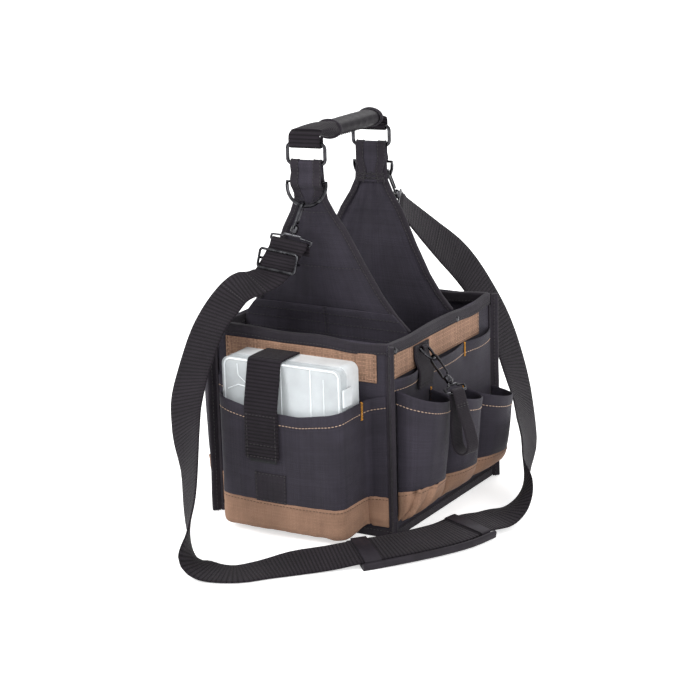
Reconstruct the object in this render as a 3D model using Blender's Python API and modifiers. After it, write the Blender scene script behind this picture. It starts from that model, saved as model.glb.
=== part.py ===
"""Open-top tool carrier: a stiff fabric box with outside pockets, a ring-hung handle and a clip-on strap."""
import math

import bmesh
import bpy
from mathutils import Matrix, Vector

# The box. X runs along the front face, the front faces -Y and the floor is Z zero.
box_width = 0.226
box_depth = 0.240
box_height = 0.222
wall_thickness = 0.004
base_thickness = 0.005

# Cloth, tape and running clearances
gap = 0.0003
cloth = 0.0018
tape = 0.0016
webbing = 0.0024

# Edge tapes, bands and corner welts
rim_tape_drop = 0.012
welt_reach = 0.0105
welt_thickness = 0.0046
base_band_height = 0.0105
contrast_height = 0.031
contrast_clear = 0.0008

# Front pocket, which holds the parts box
front_bulge = 0.050
front_face_left = 0.080
front_face_right = 0.079
front_wing_inset = 0.0055
front_wing = box_width / 2 - front_wing_inset
front_lip_drop = 0.066
front_lip = box_height - front_lip_drop
front_seam = 0.043
front_foot = 0.0135

# Side and back pockets
side_bulge = 0.040
left_side_bulge = 0.030
side_foot = 0.0205
side_lip_drop = 0.051
side_lip_slant = 0.059
side_lip_front = box_height - side_lip_drop
side_lip_back = side_lip_front - side_lip_slant
side_seam = 0.052
sleeve_lip_drop = 0.040
sleeve_lip = box_height - sleeve_lip_drop
sleeve_foot = 0.024
sleeve_bulge = 0.0085
back_bulge = 0.014
back_lip_drop = 0.072
back_lip = box_height - back_lip_drop
back_seam = 0.043

# Yokes that carry the handle
yoke_thickness = 0.0026
yoke_binding_width = 0.008
near_yoke_foot = 0.060
far_yoke_foot = 0.042
near_bar_reach = 0.094
far_bar_reach = 0.050
near_bar_rise = 0.186
near_bar_height = box_height + near_bar_rise
far_bar_drop = 0.005
far_bar_height = near_bar_height - far_bar_drop
yoke_twist = 0.20
neck_half_width = 0.018
neck_panel_drop = 0.010
yoke_pocket_rise = 0.018
yoke_pocket_lip = box_height + yoke_pocket_rise
near_tongue_length = 0.044
far_tongue_length = 0.030
sleeve_back_length = 0.042
d_bar_drop = 0.020

# Rings and handle
ring_wire = 0.0022
ring_half_width = 0.0215
ring_pitch = 0.022
ring_corner = 0.005
d_wire = 0.0020
d_half_width = 0.0225
d_tilt = 0.20
grip_length = 0.094
grip_half_width = 0.0140
grip_half_height = 0.0098
grip_rise = 0.0115
grip_offset = 0.004
handle_arch = 0.0155
bunched_half_width = 0.0115

# Parts box
parts_width = 0.150
parts_show = 0.028
parts_height = front_lip + parts_show
parts_depth = 0.040
parts_lid_depth = 0.013
parts_wall = 0.0016
parts_corner = 0.009

# Strap over the parts box, its fastening pad and the label
box_strap_width = 0.043
box_strap_centre = -0.020
box_strap_drop = 0.065
box_strap_tail = front_lip - box_strap_drop
pad_patch_height = 0.058
patch_thickness = 0.0009

# Snap hooks
hook_wire = 0.0014
hook_half_width = 0.0056
hook_length = 0.0300
hook_barrel = 0.0042
hook_barrel_length = 0.0075
eye_drop = 0.0092
gate_lap = 0.0060

# Shoulder strap, slide and pad
strap_width = 0.050
strap_thickness = 0.0022
slide_wire = 0.0016
slide_half_height = 0.0105
slide_ease = 0.0010
pad_width = 0.066
pad_base = 0.0042
pad_lip = 0.0085
pad_ease = 0.0008
fold_length = 0.012

# Tape strap on the right wall
tab_width = 0.034
tab_centre = -0.0545
tab_drop = 0.0135
tab_top = box_height - tab_drop
tab_length = 0.0485
tab_foot = tab_top - tab_length
loop_width = 0.024
loop_length = 0.070
loop_half_depth = 0.012
loop_lean = 0.20
tape_lean = 0.85
tape_heading = 0.30
ring_bar = 0.0015
near_hook_angle = 1.75
far_hook_angle = 0.60

half_width = box_width / 2
half_depth = box_depth / 2
near_bar = Vector((0, -near_bar_reach, near_bar_height))
far_bar = Vector((0, far_bar_reach, far_bar_height))
across = Vector((math.cos(yoke_twist), math.sin(yoke_twist), 0))
facing = Vector((math.sin(yoke_twist), -math.cos(yoke_twist), 0))
up = Vector((0, 0, 1))
turn = math.tau
near_lean = (near_bar_reach - near_yoke_foot) / (near_bar_height - box_height)
far_lean = (far_bar_reach - far_yoke_foot) / (far_bar_height - box_height)

BLACK = (0.024, 0.024, 0.029)
BINDING = (0.036, 0.034, 0.040)
TAN = (0.42, 0.27, 0.18)
CLEAR = (0.80, 0.86, 0.92)
GUNMETAL = (0.10, 0.10, 0.11)
MOULDED = (0.030, 0.030, 0.034)


def clear_scene():
    """Start from an empty file."""
    for old in list(bpy.data.objects):
        bpy.data.objects.remove(old, do_unlink=True)


def make_collection(name):
    """Add a collection to the scene."""
    found = bpy.data.collections.new(name)
    bpy.context.scene.collection.children.link(found)
    return found


def material(name, colour, roughness, metallic=0.0, alpha=1.0):
    """A plain Principled material."""
    made = bpy.data.materials.new(name)
    made.use_nodes = True
    shader = made.node_tree.nodes["Principled BSDF"]
    shader.inputs["Base Color"].default_value = (*colour, 1.0)
    shader.inputs["Roughness"].default_value = roughness
    shader.inputs["Metallic"].default_value = metallic
    shader.inputs["Alpha"].default_value = alpha
    made.diffuse_color = (*colour, alpha)
    return made


def add_object(name, data, finish):
    """Put a mesh or curve in the carrier's collection with its material."""
    made = bpy.data.objects.new(name, data)
    carrier.objects.link(made)
    data.materials.append(finish)
    return made


def hang(name, place, pieces):
    """An empty on a joint's axis, with the pieces that turn about it parented to it where they are."""
    joint = bpy.data.objects.new(f"{name}_joint", None)
    joint.location = place
    joint.empty_display_size = eye_drop
    carrier.objects.link(joint)
    for piece in pieces:
        moving = bpy.data.objects[piece]
        moving.parent = joint
        moving.matrix_parent_inverse = Matrix.Translation(-joint.location)


def from_bmesh(name, built, finish):
    """Turn a finished bmesh into a named object."""
    bmesh.ops.recalc_face_normals(built, faces=built.faces)
    mesh = bpy.data.meshes.new(name)
    built.to_mesh(mesh)
    built.free()
    return add_object(name, mesh, finish)


def smooth(made, angle=math.radians(35)):
    """Shade a round mesh smooth, with its real corners kept."""
    made.data.shade_smooth()
    made.data.set_sharp_from_angle(angle=angle)
    return made


def add_box(built, low, high):
    """Add a box to a bmesh between two corners."""
    size = Vector(high) - Vector(low)
    centre = (Vector(high) + Vector(low)) / 2
    place = Matrix.Translation(centre) @ Matrix.Diagonal((*size, 1))
    bmesh.ops.create_cube(built, size=1, matrix=place)


def boxes(name, pairs, finish):
    """One object made of separate boxes, each given by two corners."""
    built = bmesh.new()
    for low, high in pairs:
        add_box(built, low, high)
    return from_bmesh(name, built, finish)


def bevel(made, width, segments=2):
    """Round an object's edges with a live modifier."""
    mod = made.modifiers.new("Rounded edges", "BEVEL")
    mod.width = width
    mod.segments = segments
    mod.limit_method = "ANGLE"
    return made


def add_loft(built, rings):
    """Skin a list of equal rings into a closed body with capped ends."""
    rows = [[built.verts.new(point) for point in ring] for ring in rings]
    count = len(rows[0])
    for low, high in zip(rows, rows[1:]):
        for i in range(count):
            j = (i + 1) % count
            built.faces.new((low[i], low[j], high[j], high[i]))
    built.faces.new(rows[0])
    built.faces.new(rows[-1])


def loft(name, rings, finish):
    """A closed body skinned over a list of rings."""
    built = bmesh.new()
    add_loft(built, rings)
    return from_bmesh(name, built, finish)


def band(centres, widths, faces, thickness, half_widths):
    """Rings of a flat strap: centre points, width directions, face directions and sizes."""
    rings = []
    for centre, wide, face, half in zip(centres, widths, faces, half_widths):
        side = wide * half
        lift = face * (thickness / 2)
        rings.append([centre - side - lift, centre + side - lift,
                      centre + side + lift, centre - side + lift])
    return rings


def path_normals(points, wide):
    """Face directions of a strap whose width direction stays the same along its path."""
    normals = []
    for i, _ in enumerate(points):
        before = points[max(i - 1, 0)]
        after = points[min(i + 1, len(points) - 1)]
        normals.append((after - before).normalized().cross(wide).normalized())
    return normals


def folded_strap(name, points, wide, half_width, thickness, finish, round_end=0):
    """A strap with one width direction that follows a bent path, with a rounded last end if asked."""
    normals = path_normals(points, wide)
    halves = [half_width] * len(points)
    if round_end:
        end = points[-1]
        for i, point in enumerate(points):
            left = (end - point).length
            if left < round_end:
                share = 1 - left / round_end
                halves[i] = half_width * max(math.sqrt(1 - share * share), 0.35)
    return loft(name, band(points, [wide] * len(points), normals, thickness, halves), finish)


def smooth_route(points, steps):
    """A smooth curve through the given points, with the given number of steps between neighbours."""
    route = []
    last = len(points) - 1
    for i in range(last):
        a, b = points[max(i - 1, 0)], points[i]
        c, d = points[i + 1], points[min(i + 2, last)]
        for k in range(steps):
            t = k / steps
            route.append(
                ((b * 2) + (c - a) * t + (a * 2 - b * 5 + c * 4 - d) * t**2
                 + (b * 3 - a - c * 3 + d) * t**3) / 2
            )
    route.append(points[-1])
    return route


def wire(name, points, radius, finish, closed=False):
    """A round wire along a list of points."""
    curve = bpy.data.curves.new(name, "CURVE")
    curve.dimensions = "3D"
    curve.bevel_depth = radius
    curve.bevel_resolution = 2
    curve.use_fill_caps = not closed
    spline = curve.splines.new("POLY")
    spline.points.add(len(points) - 1)
    for spot, point in zip(spline.points, points):
        spot.co = (*point, 1)
    spline.use_cyclic_u = closed
    return add_object(name, curve, finish)


def as_mesh(made):
    """Replace a curve object by a closed mesh of the same shape."""
    graph = bpy.context.evaluated_depsgraph_get()
    graph.update()
    mesh = bpy.data.meshes.new_from_object(made.evaluated_get(graph))
    welded = bmesh.new()
    welded.from_mesh(mesh)
    bmesh.ops.remove_doubles(welded, verts=welded.verts, dist=gap / 30)
    bmesh.ops.recalc_face_normals(welded, faces=welded.faces)
    welded.to_mesh(mesh)
    welded.free()
    name, place = made.name, made.matrix_world.copy()
    finish = made.data.materials[0]
    bpy.data.objects.remove(made, do_unlink=True)
    mesh.materials.clear()
    fresh = add_object(name, mesh, finish)
    fresh.matrix_world = place
    return fresh


def as_cutter(made):
    """Move an object to the cutters' collection and hide it."""
    carrier.objects.unlink(made)
    cutters.objects.link(made)
    made.hide_render = True
    made.display_type = "WIRE"
    return made


def boolean(made, other, operation):
    """Cut or join another mesh with a live modifier."""
    mod = made.modifiers.new(operation.title(), "BOOLEAN")
    mod.operation = operation
    mod.solver = "EXACT"
    mod.object = as_cutter(other)
    return made


def turned(name, profile, finish, place, sides=20):
    """A turned piece from radius and height pairs, closed on its axis at both ends."""
    built = bmesh.new()
    rings = []
    for radius, height in profile:
        spots = [(math.cos(turn * k / sides), math.sin(turn * k / sides)) for k in range(sides)]
        rings.append([place @ Vector((radius * c, radius * s, height)) for c, s in spots])
    add_loft(built, rings)
    return smooth(from_bmesh(name, built, finish))


# Walls, base and their edge tapes

def build_walls():
    """Four stiff panels and a base board, each a separate piece."""
    inner_x = half_width - wall_thickness
    inner_y = half_depth - wall_thickness
    top = box_height - tape - gap
    boxes("base_panel",
          [((-inner_x + gap, -inner_y + gap, 0), (inner_x - gap, inner_y - gap, base_thickness))],
          black)
    for name, side in (("left_wall", -1), ("right_wall", 1)):
        low = min(side * inner_x, side * half_width)
        boxes(name, [((low, -half_depth, 0), (low + wall_thickness, half_depth, top))], black)
    for name, side in (("front_wall", -1), ("back_wall", 1)):
        low = min(side * inner_y, side * half_depth)
        boxes(name, [((-inner_x + gap, low, 0), (inner_x - gap, low + wall_thickness, top))], black)


def frame_rings(reach_x, reach_y, section):
    """One ring of points at each corner of a rectangle, for a section swept all the way round it."""
    rings = []
    for x_side, y_side in ((-1, -1), (1, -1), (1, 1), (-1, 1)):
        rings.append([Vector((x_side * (reach_x + out), y_side * (reach_y + out), level))
                      for out, level in section])
    return rings


def closed_loft(name, rings, finish):
    """A closed body swept round a loop of rings, with no ends."""
    built = bmesh.new()
    rows = [[built.verts.new(point) for point in ring] for ring in rings]
    count = len(rows[0])
    for low, high in zip(rows, rows[1:] + rows[:1]):
        for i in range(count):
            j = (i + 1) % count
            built.faces.new((low[i], low[j], high[j], high[i]))
    return from_bmesh(name, built, finish)


def build_rim_tape():
    """Tape folded over the top edge of all four walls, mitred at the corners."""
    inner = wall_thickness / 2 + gap
    outer = inner + tape
    foot = box_height - rim_tape_drop
    roof = box_height - tape
    shoulder = box_height - tape / 3
    section = [(-outer, foot), (-outer, shoulder), (-inner, box_height), (inner, box_height),
               (outer, shoulder),
               (outer, foot), (inner, foot), (inner, roof), (-inner, roof), (-inner, foot)]
    middle_x = half_width - wall_thickness / 2
    middle_y = half_depth - wall_thickness / 2
    closed_loft("rim_binding", frame_rings(middle_x, middle_y, section), binding)


def build_corner_welts():
    """A taped seam on each upright corner, notched to sit on the tapes at its top and foot."""
    half = welt_thickness / 2
    nose = math.sqrt(2) * (tape + 2 * gap)
    arc = 6
    outline = [(nose, 0), (nose - half, half), (welt_reach - half, half)]
    for k in range(1, arc):
        angle = turn / 4 - turn / 2 * k / arc
        outline.append((welt_reach - half + half * math.cos(angle), half * math.sin(angle)))
    outline += [(welt_reach - half, -half), (nose - half, -half)]
    corners = (("front_left", -1, -1), ("front_right", 1, -1), ("back_right", 1, 1), ("back_left", -1, 1))
    for name, x_side, y_side in corners:
        place = Matrix.Translation((x_side * half_width, y_side * half_depth, 0))
        place = place @ Matrix.Rotation(math.atan2(y_side, x_side), 4, "Z")
        rings = [[place @ Vector((*spot, level)) for spot in outline] for level in (0, box_height)]
        loft(f"welt_{name}", rings, binding)


def build_bands():
    """The base band round the foot of the walls and the contrast bands under the rim tape."""
    section = [(gap, 0), (gap + tape, 0), (gap + tape, base_band_height), (gap, base_band_height)]
    closed_loft("base_band", frame_rings(half_width, half_depth, section), binding)
    top = box_height - rim_tape_drop - contrast_clear
    foot = top - contrast_height
    side_foot_level = max(foot, sleeve_lip + contrast_clear)
    wide = half_width - 1.6 * welt_reach
    deep_front = half_depth - welt_thickness
    deep_back = half_depth - 3 * welt_reach
    for name, side in (("front", -1), ("back", 1)):
        near, far = sorted((side * (half_depth + gap), side * (half_depth + gap + tape)))
        boxes(f"contrast_{name}", [((-wide, near, foot), (wide, far, top))], tan)
    for name, side in (("left", -1), ("right", 1)):
        near, far = sorted((side * (half_width + gap), side * (half_width + gap + tape)))
        boxes(f"contrast_{name}", [((near, -deep_front, side_foot_level), (far, deep_back, top))], tan)


# Pockets

def wall_frame(side):
    """Place, along and outward directions of one wall's outer face, seen as a pocket's base."""
    frames = {
        "front": (Vector((0, -half_depth, 0)), Vector((1, 0, 0)), Vector((0, -1, 0))),
        "back": (Vector((0, half_depth, 0)), Vector((1, 0, 0)), Vector((0, 1, 0))),
        "right": (Vector((half_width, 0, 0)), Vector((0, 1, 0)), Vector((1, 0, 0))),
        "left": (Vector((-half_width, 0, 0)), Vector((0, 1, 0)), Vector((-1, 0, 0))),
    }
    return frames[side]


def pocket(name, side, columns, rows, depth, foot, lip, finish, standoff=gap):
    """A cloth shell on a wall. Columns hold a place along the wall and a bulge share. Rows hold a height
    share at the flat parts, a height share at the full bulge and a depth share. Lip gives the top."""
    origin, along, outward = wall_frame(side)
    built = bmesh.new()
    grid = []
    for flat_share, full_share, depth_share in rows:
        line = []
        for place, bulge_share in columns:
            share = flat_share + (full_share - flat_share) * bulge_share
            level = foot + share * (lip(place) - foot)
            out = standoff + cloth + depth * depth_share * bulge_share
            line.append(built.verts.new(origin + along * place + outward * out + up * level))
        grid.append(line)
    for low, high in zip(grid, grid[1:]):
        for i in range(len(columns) - 1):
            built.faces.new((low[i], low[i + 1], high[i + 1], high[i]))
    flip = along.cross(up).dot(outward) < 0
    if flip:
        bmesh.ops.reverse_faces(built, faces=built.faces)
    mesh = bpy.data.meshes.new(name)
    built.to_mesh(mesh)
    built.free()
    made = add_object(name, mesh, finish)
    mod = made.modifiers.new("Cloth", "SOLIDIFY")
    mod.thickness = cloth
    mod.offset = -1
    return made


def cut_rows(rows, seam_share, clear_share):
    """Split a pocket's rows at its seam into a lower skirt and an upper panel, with a clear line between."""
    def blend(share):
        for low, high in zip(rows, rows[1:]):
            if low[1] <= share <= high[1] and high[0] > low[0]:
                t = (share - low[1]) / (high[1] - low[1])
                return tuple(a + (b - a) * t for a, b in zip(low, high))
        return rows[-1]
    lower = [row for row in rows if row[1] < seam_share or row[2] < 0.5]
    upper = [row for row in rows if row[1] > seam_share + clear_share and row[2] >= 0.5]
    return lower + [blend(seam_share)], [blend(seam_share + clear_share)] + upper


def round_columns(low, high, count, power):
    """Columns of one rounded bulge between two places on the wall."""
    middle = (low + high) / 2
    half = (high - low) / 2
    columns = []
    for k in range(count + 1):
        angle = math.pi * k / count
        columns.append((middle - half * math.cos(angle), math.sin(angle) ** power))
    return columns


def build_front_pocket():
    """The deep front pocket: flat wings sewn to the wall and a boxed face that holds the parts box."""
    left, right = front_face_left, front_face_right
    corner = front_bulge / 8
    columns = [(-front_wing, 0), (-left - corner, 0), (-left - corner / 2, 0.12), (-left, 0.82),
               (-left + corner / 2, 0.94), (-left + 2 * corner, 1), (-left / 3, 1), (right / 3, 1),
               (right - 2 * corner, 1), (right - corner / 2, 0.94), (right, 0.82),
               (right + corner / 2, 0.12),
               (right + corner, 0), (front_wing, 0)]
    rows = [(0, 0, 0.03), (0.02, -0.05, 0.55), (0.05, -0.06, 0.93), (0.09, -0.02, 1), (0.21, 0.19, 1),
            (0.5, 0.5, 1), (0.8, 0.78, 1), (1, 1, 1)]

    def lip(place):
        share = 1 - min(abs(place - left / 16) / (left + right) * 2, 1) ** 2
        wing = max(abs(place) - right, 0) / (front_wing - right)
        return front_lip * (1 - share * 0.09 + wing * 0.05)

    seam = (front_seam - front_foot) / (front_lip - front_foot)
    clear = gap / (front_lip * 0.91 - front_foot)
    lower, upper = cut_rows(rows, seam, clear)
    pocket("front_pocket_skirt", "front", columns, lower, front_bulge, front_foot, lip, tan)
    pocket("front_pocket", "front", columns, upper, front_bulge, front_foot, lip, black)


def build_side_pockets():
    """Three bulging pockets on each side wall, over a flat row of tool sleeves."""
    run = half_depth - welt_thickness
    count = 3
    edges = [-run + 2 * run * k / count for k in range(count + 1)]
    names = ("front", "middle", "rear")
    rows = [(0, 0, 0.03), (0.02, 0.03, 0.28), (0.05, 0.09, 0.56), (0.09, 0.17, 0.70), (0.3, 0.32, 0.80),
            (0.6, 0.59, 0.90), (1, 0.93, 1)]

    def lip(place):
        share = (place + half_depth) / box_depth
        return side_lip_front + (side_lip_back - side_lip_front) * share

    middle_lip = (side_lip_front + side_lip_back) / 2
    seam = (side_seam - side_foot) / (middle_lip - side_foot)
    clear = gap / (side_lip_back - side_foot)
    lower, upper = cut_rows(rows, seam, clear)
    standoff = 2 * gap + cloth
    sleeve_edges = [-run, -run * 0.51, run * 0.42, run]
    sleeve_rows = [(0, 0, 0), (0.45, 0.45, 0), (0.78, 0.78, 0), (0.84, 0.84, 0.22), (0.91, 0.91, 0.58),
                   (1, 1, 1)]
    for side, bulge in (("right", side_bulge), ("left", left_side_bulge)):
        skirt = []
        for index, (low, high) in enumerate(zip(edges, edges[1:])):
            columns = round_columns(low, high, 12, 0.62)
            skirt += columns if index == 0 else columns[1:]
            trimmed = [(min(max(place, low + gap / 2), high - gap / 2), share) for place, share in columns]
            pocket(f"{side}_pocket_{names[index]}", side, trimmed, upper, bulge, side_foot, lip, black,
                   standoff)
        pocket(f"{side}_pocket_skirt", side, skirt, lower, bulge, side_foot, lip, tan, standoff)
        sleeves = []
        for index, (low, high) in enumerate(zip(sleeve_edges, sleeve_edges[1:])):
            columns = round_columns(low, high, 8, 2)
            sleeves += columns if index == 0 else columns[1:]
        pocket(f"{side}_tool_sleeves", side, sleeves, sleeve_rows, sleeve_bulge, sleeve_foot,
               lambda place: sleeve_lip, black)


def build_back_pocket():
    """A two-bay flat pocket on the back wall."""
    run = half_width - welt_thickness
    columns = round_columns(-run, 0, 8, 0.8) + round_columns(0, run, 8, 0.8)[1:]
    rows = [(0, 0, 0.06), (0.03, 0.03, 0.6), (0.1, 0.1, 0.9), (0.21, 0.21, 0.95), (0.6, 0.6, 1), (1, 1, 1)]
    seam = (back_seam - front_foot) / (back_lip - front_foot)
    lower, upper = cut_rows(rows, seam, gap / (back_lip - front_foot))
    pocket("back_pocket_skirt", "back", columns, lower, back_bulge, front_foot, lambda place: back_lip, tan)
    pocket("back_pocket", "back", columns, upper, back_bulge, front_foot, lambda place: back_lip, black)


# Yokes

YOKE_SHARES = ((0, 1), (0.09, 0.865), (0.22, 0.71), (0.41, 0.535), (0.63, 0.36), (0.74, 0.25), (0.83, 0.185),
               (1, 0.17))
YOKE_STEPS = 4


def finer(pairs, steps):
    """Pairs of shares with more rows put evenly between each two."""
    rows = []
    for low, high in zip(pairs, pairs[1:]):
        for k in range(steps):
            rows.append(tuple(a + (b - a) * k / steps for a, b in zip(low, high)))
    return rows + [pairs[-1]]


def yoke_stations(foot_y, bar, facing_side):
    """Stations up a yoke: centre, width direction, face direction and half width."""
    foot_half = half_width - wall_thickness - gap - tape - 2 * gap
    stations = []
    start = base_thickness + gap
    out = Vector((0, -1, 0)) * facing_side
    stations.append((Vector((0, foot_y, start)), Vector((1, 0, 0)), out, foot_half))
    neck_share = neck_half_width / foot_half
    rise = bar.z - box_height
    top_share = 1 - neck_panel_drop / rise
    for share, width_share in finer(YOKE_SHARES, YOKE_STEPS):
        t = share * top_share
        ease = t * t * (3 - 2 * t)
        angle = yoke_twist * ease
        wide = Vector((math.cos(angle), math.sin(angle), 0))
        face = Vector((math.sin(angle), -math.cos(angle), 0)) * facing_side
        centre = Vector((0, foot_y + (bar.y - foot_y) * t, box_height + rise * t))
        half = foot_half * max(width_share, neck_share)
        stations.append((centre, wide, face, half))
    return stations


def build_yoke(name, foot_y, bar, lean, facing_side, tongue_length):
    """A divider that rises out of the box and narrows to the neck that holds a ring."""
    stations = yoke_stations(foot_y, bar, facing_side)
    centres = [s[0] for s in stations]
    wides = [s[1] for s in stations]
    faces = [s[2] for s in stations]
    halves = [s[3] for s in stations]
    inset = tape + gap
    slim = [half - inset for half in halves]
    loft(f"{name}_yoke", band(centres, wides, faces, yoke_thickness, slim), black)
    inner = yoke_thickness / 2 + gap
    outer = inner + tape / 2
    built = bmesh.new()
    for side in (-1, 1):
        rings = []
        for centre, wide, face, half in stations[1:]:
            edge = centre + wide * (side * half)
            inward = wide * -side
            section = ((yoke_binding_width, outer), (0, outer), (0, -outer), (yoke_binding_width, -outer),
                       (yoke_binding_width, -inner), (tape, -inner), (tape, inner),
                       (yoke_binding_width, inner))
            rings.append([edge + inward * a + face * b for a, b in section])
        add_loft(built, rings)
    edges = from_bmesh(f"{name}_edge_tapes", built, binding)
    return boolean(neck_sleeve(name, bar, lean, facing_side, tongue_length), edges, "UNION")


def build_yoke_pocket(name, foot_y, bar, facing_side, lip):
    """A flat inside pocket sewn across a yoke's face."""
    stations = yoke_stations(foot_y, bar, facing_side)
    lift = yoke_thickness / 2 + gap + tape / 2 + gap + cloth / 2
    foot = stations[0]
    rim = stations[1]
    above = stations[1 + YOKE_STEPS]
    share = (lip - rim[0].z) / (above[0].z - rim[0].z)
    top = [a + (b - a) * share for a, b in zip(rim, above)]
    chosen = [foot, rim, top]
    centres = [s[0] + s[2] * lift for s in chosen]
    halves = [s[3] - tape for s in chosen]
    wides = [s[1].normalized() for s in chosen]
    faces = [s[2].normalized() for s in chosen]
    loft(f"{name}_yoke_pocket", band(centres, wides, faces, cloth, halves), black)


def neck_sleeve(name, bar, lean, facing_side, tongue_length):
    """Folded cloth over a ring's lower bar: a short back leg, and a tongue that holds the D-ring."""
    out = facing * facing_side
    leg = yoke_thickness / 2 + gap + cloth / 2
    roof = ring_wire + 2 * gap + cloth / 2
    d_out = yoke_thickness / 2 + 6 * gap + 2 * d_wire + cloth / 2 + tape / 2
    back = -leg - tape / 3
    spots = [(back, -sleeve_back_length), (back, -neck_panel_drop), (-roof, -ring_wire)]
    for k in range(7):
        angle = math.pi - math.pi * k / 6
        spots.append((roof * math.cos(angle), roof * math.sin(angle)))
    reach = d_wire + 2 * gap
    spots += [(roof, -ring_wire), (leg + tape / 2, -neck_panel_drop + gap), (d_out, -d_bar_drop + reach),
              (d_out, -d_bar_drop - reach), (leg + tape, -d_bar_drop - 4 * d_wire)]
    tail = leg + tape
    tail_steps = 6
    start = -d_bar_drop - 4 * d_wire
    for k in range(1, tail_steps + 1):
        spots.append((tail, start + (-tongue_length - start) * math.sin(turn / 4 * k / tail_steps)))
    points = [bar + out * (a + lean * min(b, 0)) + up * b for a, b in spots]
    return folded_strap(f"{name}_yoke_binding", points, across, neck_half_width, cloth, binding,
                        neck_half_width)


# Rings, handle and D-rings

def rectangle_ring(name, bar, finish):
    """A rectangular wire ring that stands on its lower bar."""
    points = []
    half = ring_half_width
    for x_side, z_side, start in ((1, 0, -turn / 4), (1, 1, 0), (-1, 1, turn / 4), (-1, 0, turn / 2)):
        centre = Vector((x_side * (half - ring_corner), 0, 0))
        level = ring_corner + z_side * (ring_pitch - 2 * ring_corner)
        for k in range(4):
            angle = start + turn / 4 * k / 3
            spot = centre.x + ring_corner * math.cos(angle)
            points.append(bar + across * spot + up * (level + ring_corner * math.sin(angle)))
    wire(name, points, ring_wire, finish, closed=True)


def d_axis(bar, lean, facing_side):
    """Centre of a D-ring's straight bar, in its pocket between the neck and the tongue."""
    out = facing * facing_side
    depth = yoke_thickness / 2 + 3 * gap + d_wire + tape / 2
    return bar + out * (depth - lean * d_bar_drop) - up * d_bar_drop


def d_frame(bar, lean, facing_side):
    """The centre of a D-ring's bar and the direction in which the ring hangs."""
    out = facing * facing_side
    return d_axis(bar, lean, facing_side), (out * math.sin(d_tilt) - up * math.cos(d_tilt)).normalized()


def d_grip(bar, lean, facing_side, angle):
    """A point on a D-ring's round part, and the direction of its wire there."""
    centre, down = d_frame(bar, lean, facing_side)
    grip = centre + across * (d_half_width * math.cos(angle))
    grip += down * (2 * d_wire + d_half_width * math.sin(angle))
    return grip, down * math.cos(angle) - across * math.sin(angle)


def d_ring(name, bar, lean, facing_side, finish):
    """A D-ring that hangs from its straight bar and stands a little off the yoke."""
    centre, down = d_frame(bar, lean, facing_side)
    points = []
    drop = 2 * d_wire
    steps = 14
    for k in range(steps + 1):
        angle = math.pi * k / steps
        points.append(centre + across * (d_half_width * math.cos(angle))
                      + down * (drop + d_half_width * math.sin(angle)))
    points = [centre + across * d_half_width] + points + [centre - across * d_half_width]
    wire(name, points, d_wire, finish, closed=True)
    hang(name, centre, [name])


def build_handle():
    """The handle: a webbing strap looped round both rings, bunched inside a padded grip."""
    near_top = near_bar + up * ring_pitch
    far_top = far_bar + up * ring_pitch
    wrap = ring_wire + 2 * gap + webbing / 2
    bow = Vector((grip_offset, 0, 0))
    near_grip = Vector((grip_offset, far_top.y - grip_length - 2 * wrap, near_top.z + grip_rise * 0.8))
    far_grip = Vector((grip_offset, far_top.y - 2 * wrap, far_top.z + grip_rise))

    def loop(top, way, leg, arch):
        spots = [(wrap, leg)]
        for k in range(7):
            angle = -math.pi * k / 6
            spots.append((wrap * math.cos(angle), wrap * math.sin(angle)))
        spots += [(-wrap, arch * 0.45), (-wrap * 0.8, arch * 0.8), (wrap * 0.3, arch)]
        return [top + Vector((0, way * a, b)) for a, b in spots]

    near_points = loop(near_top, 1, handle_arch * 0.45, handle_arch - webbing)
    far_points = loop(far_top, -1, grip_rise * 0.3, grip_rise)
    count = 10
    middle = []
    halves = []
    start, end = near_points[-1], far_points[-1]
    lead = near_grip - (far_grip - near_grip).normalized() * (2 * wrap)
    for k in range(count + 1):
        middle.append(near_grip + (far_grip - near_grip) * (k / count))
    stage = [start + (lead - start) * 0.45 + up * webbing * 0.4, lead]
    points = near_points + stage + middle + list(reversed(far_points))
    flat = neck_half_width
    halves = [flat] * len(near_points) + [flat, (flat + bunched_half_width) / 2]
    halves += [bunched_half_width] * len(middle)
    halves += [(flat + bunched_half_width) / 2] + [flat] * (len(far_points) - 1)
    normals = path_normals(points, across)
    wides = [across] * len(points)
    loft("handle_strap", band(points, wides, normals, webbing, halves), binding)

    run = (far_grip - near_grip)
    direction = run.normalized()
    rise = direction.cross(across).normalized() * -1
    shape = [(0, 0.62), (0.012, 0.84), (0.035, 0.96), (0.08, 1), (0.35, 1.03), (0.65, 1.03), (0.92, 1),
             (0.965, 0.96), (0.988, 0.84), (1, 0.62)]
    sides = 20
    rings = []
    for share, size in shape:
        ring = []
        for k in range(sides):
            angle = turn * k / sides
            ring.append(near_grip + run * share + across * (grip_half_width * size * math.cos(angle))
                        + rise * (grip_half_height * size * math.sin(angle)))
        rings.append(ring)
    grip = smooth(loft("handle_grip", rings, leather))
    spread = [near_grip - direction * webbing * 3] + middle[1:-1] + [far_grip + direction * webbing * 3]
    slot = loft("grip_slot", band(spread, [across] * len(spread), [rise] * len(spread), webbing + 2 * gap,
                                  [bunched_half_width + gap] * len(spread)), leather)
    boolean(grip, slot, "DIFFERENCE")
    hang("handle", near_top, ["handle_strap", "handle_grip"])


# Parts box in the front pocket

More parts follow.
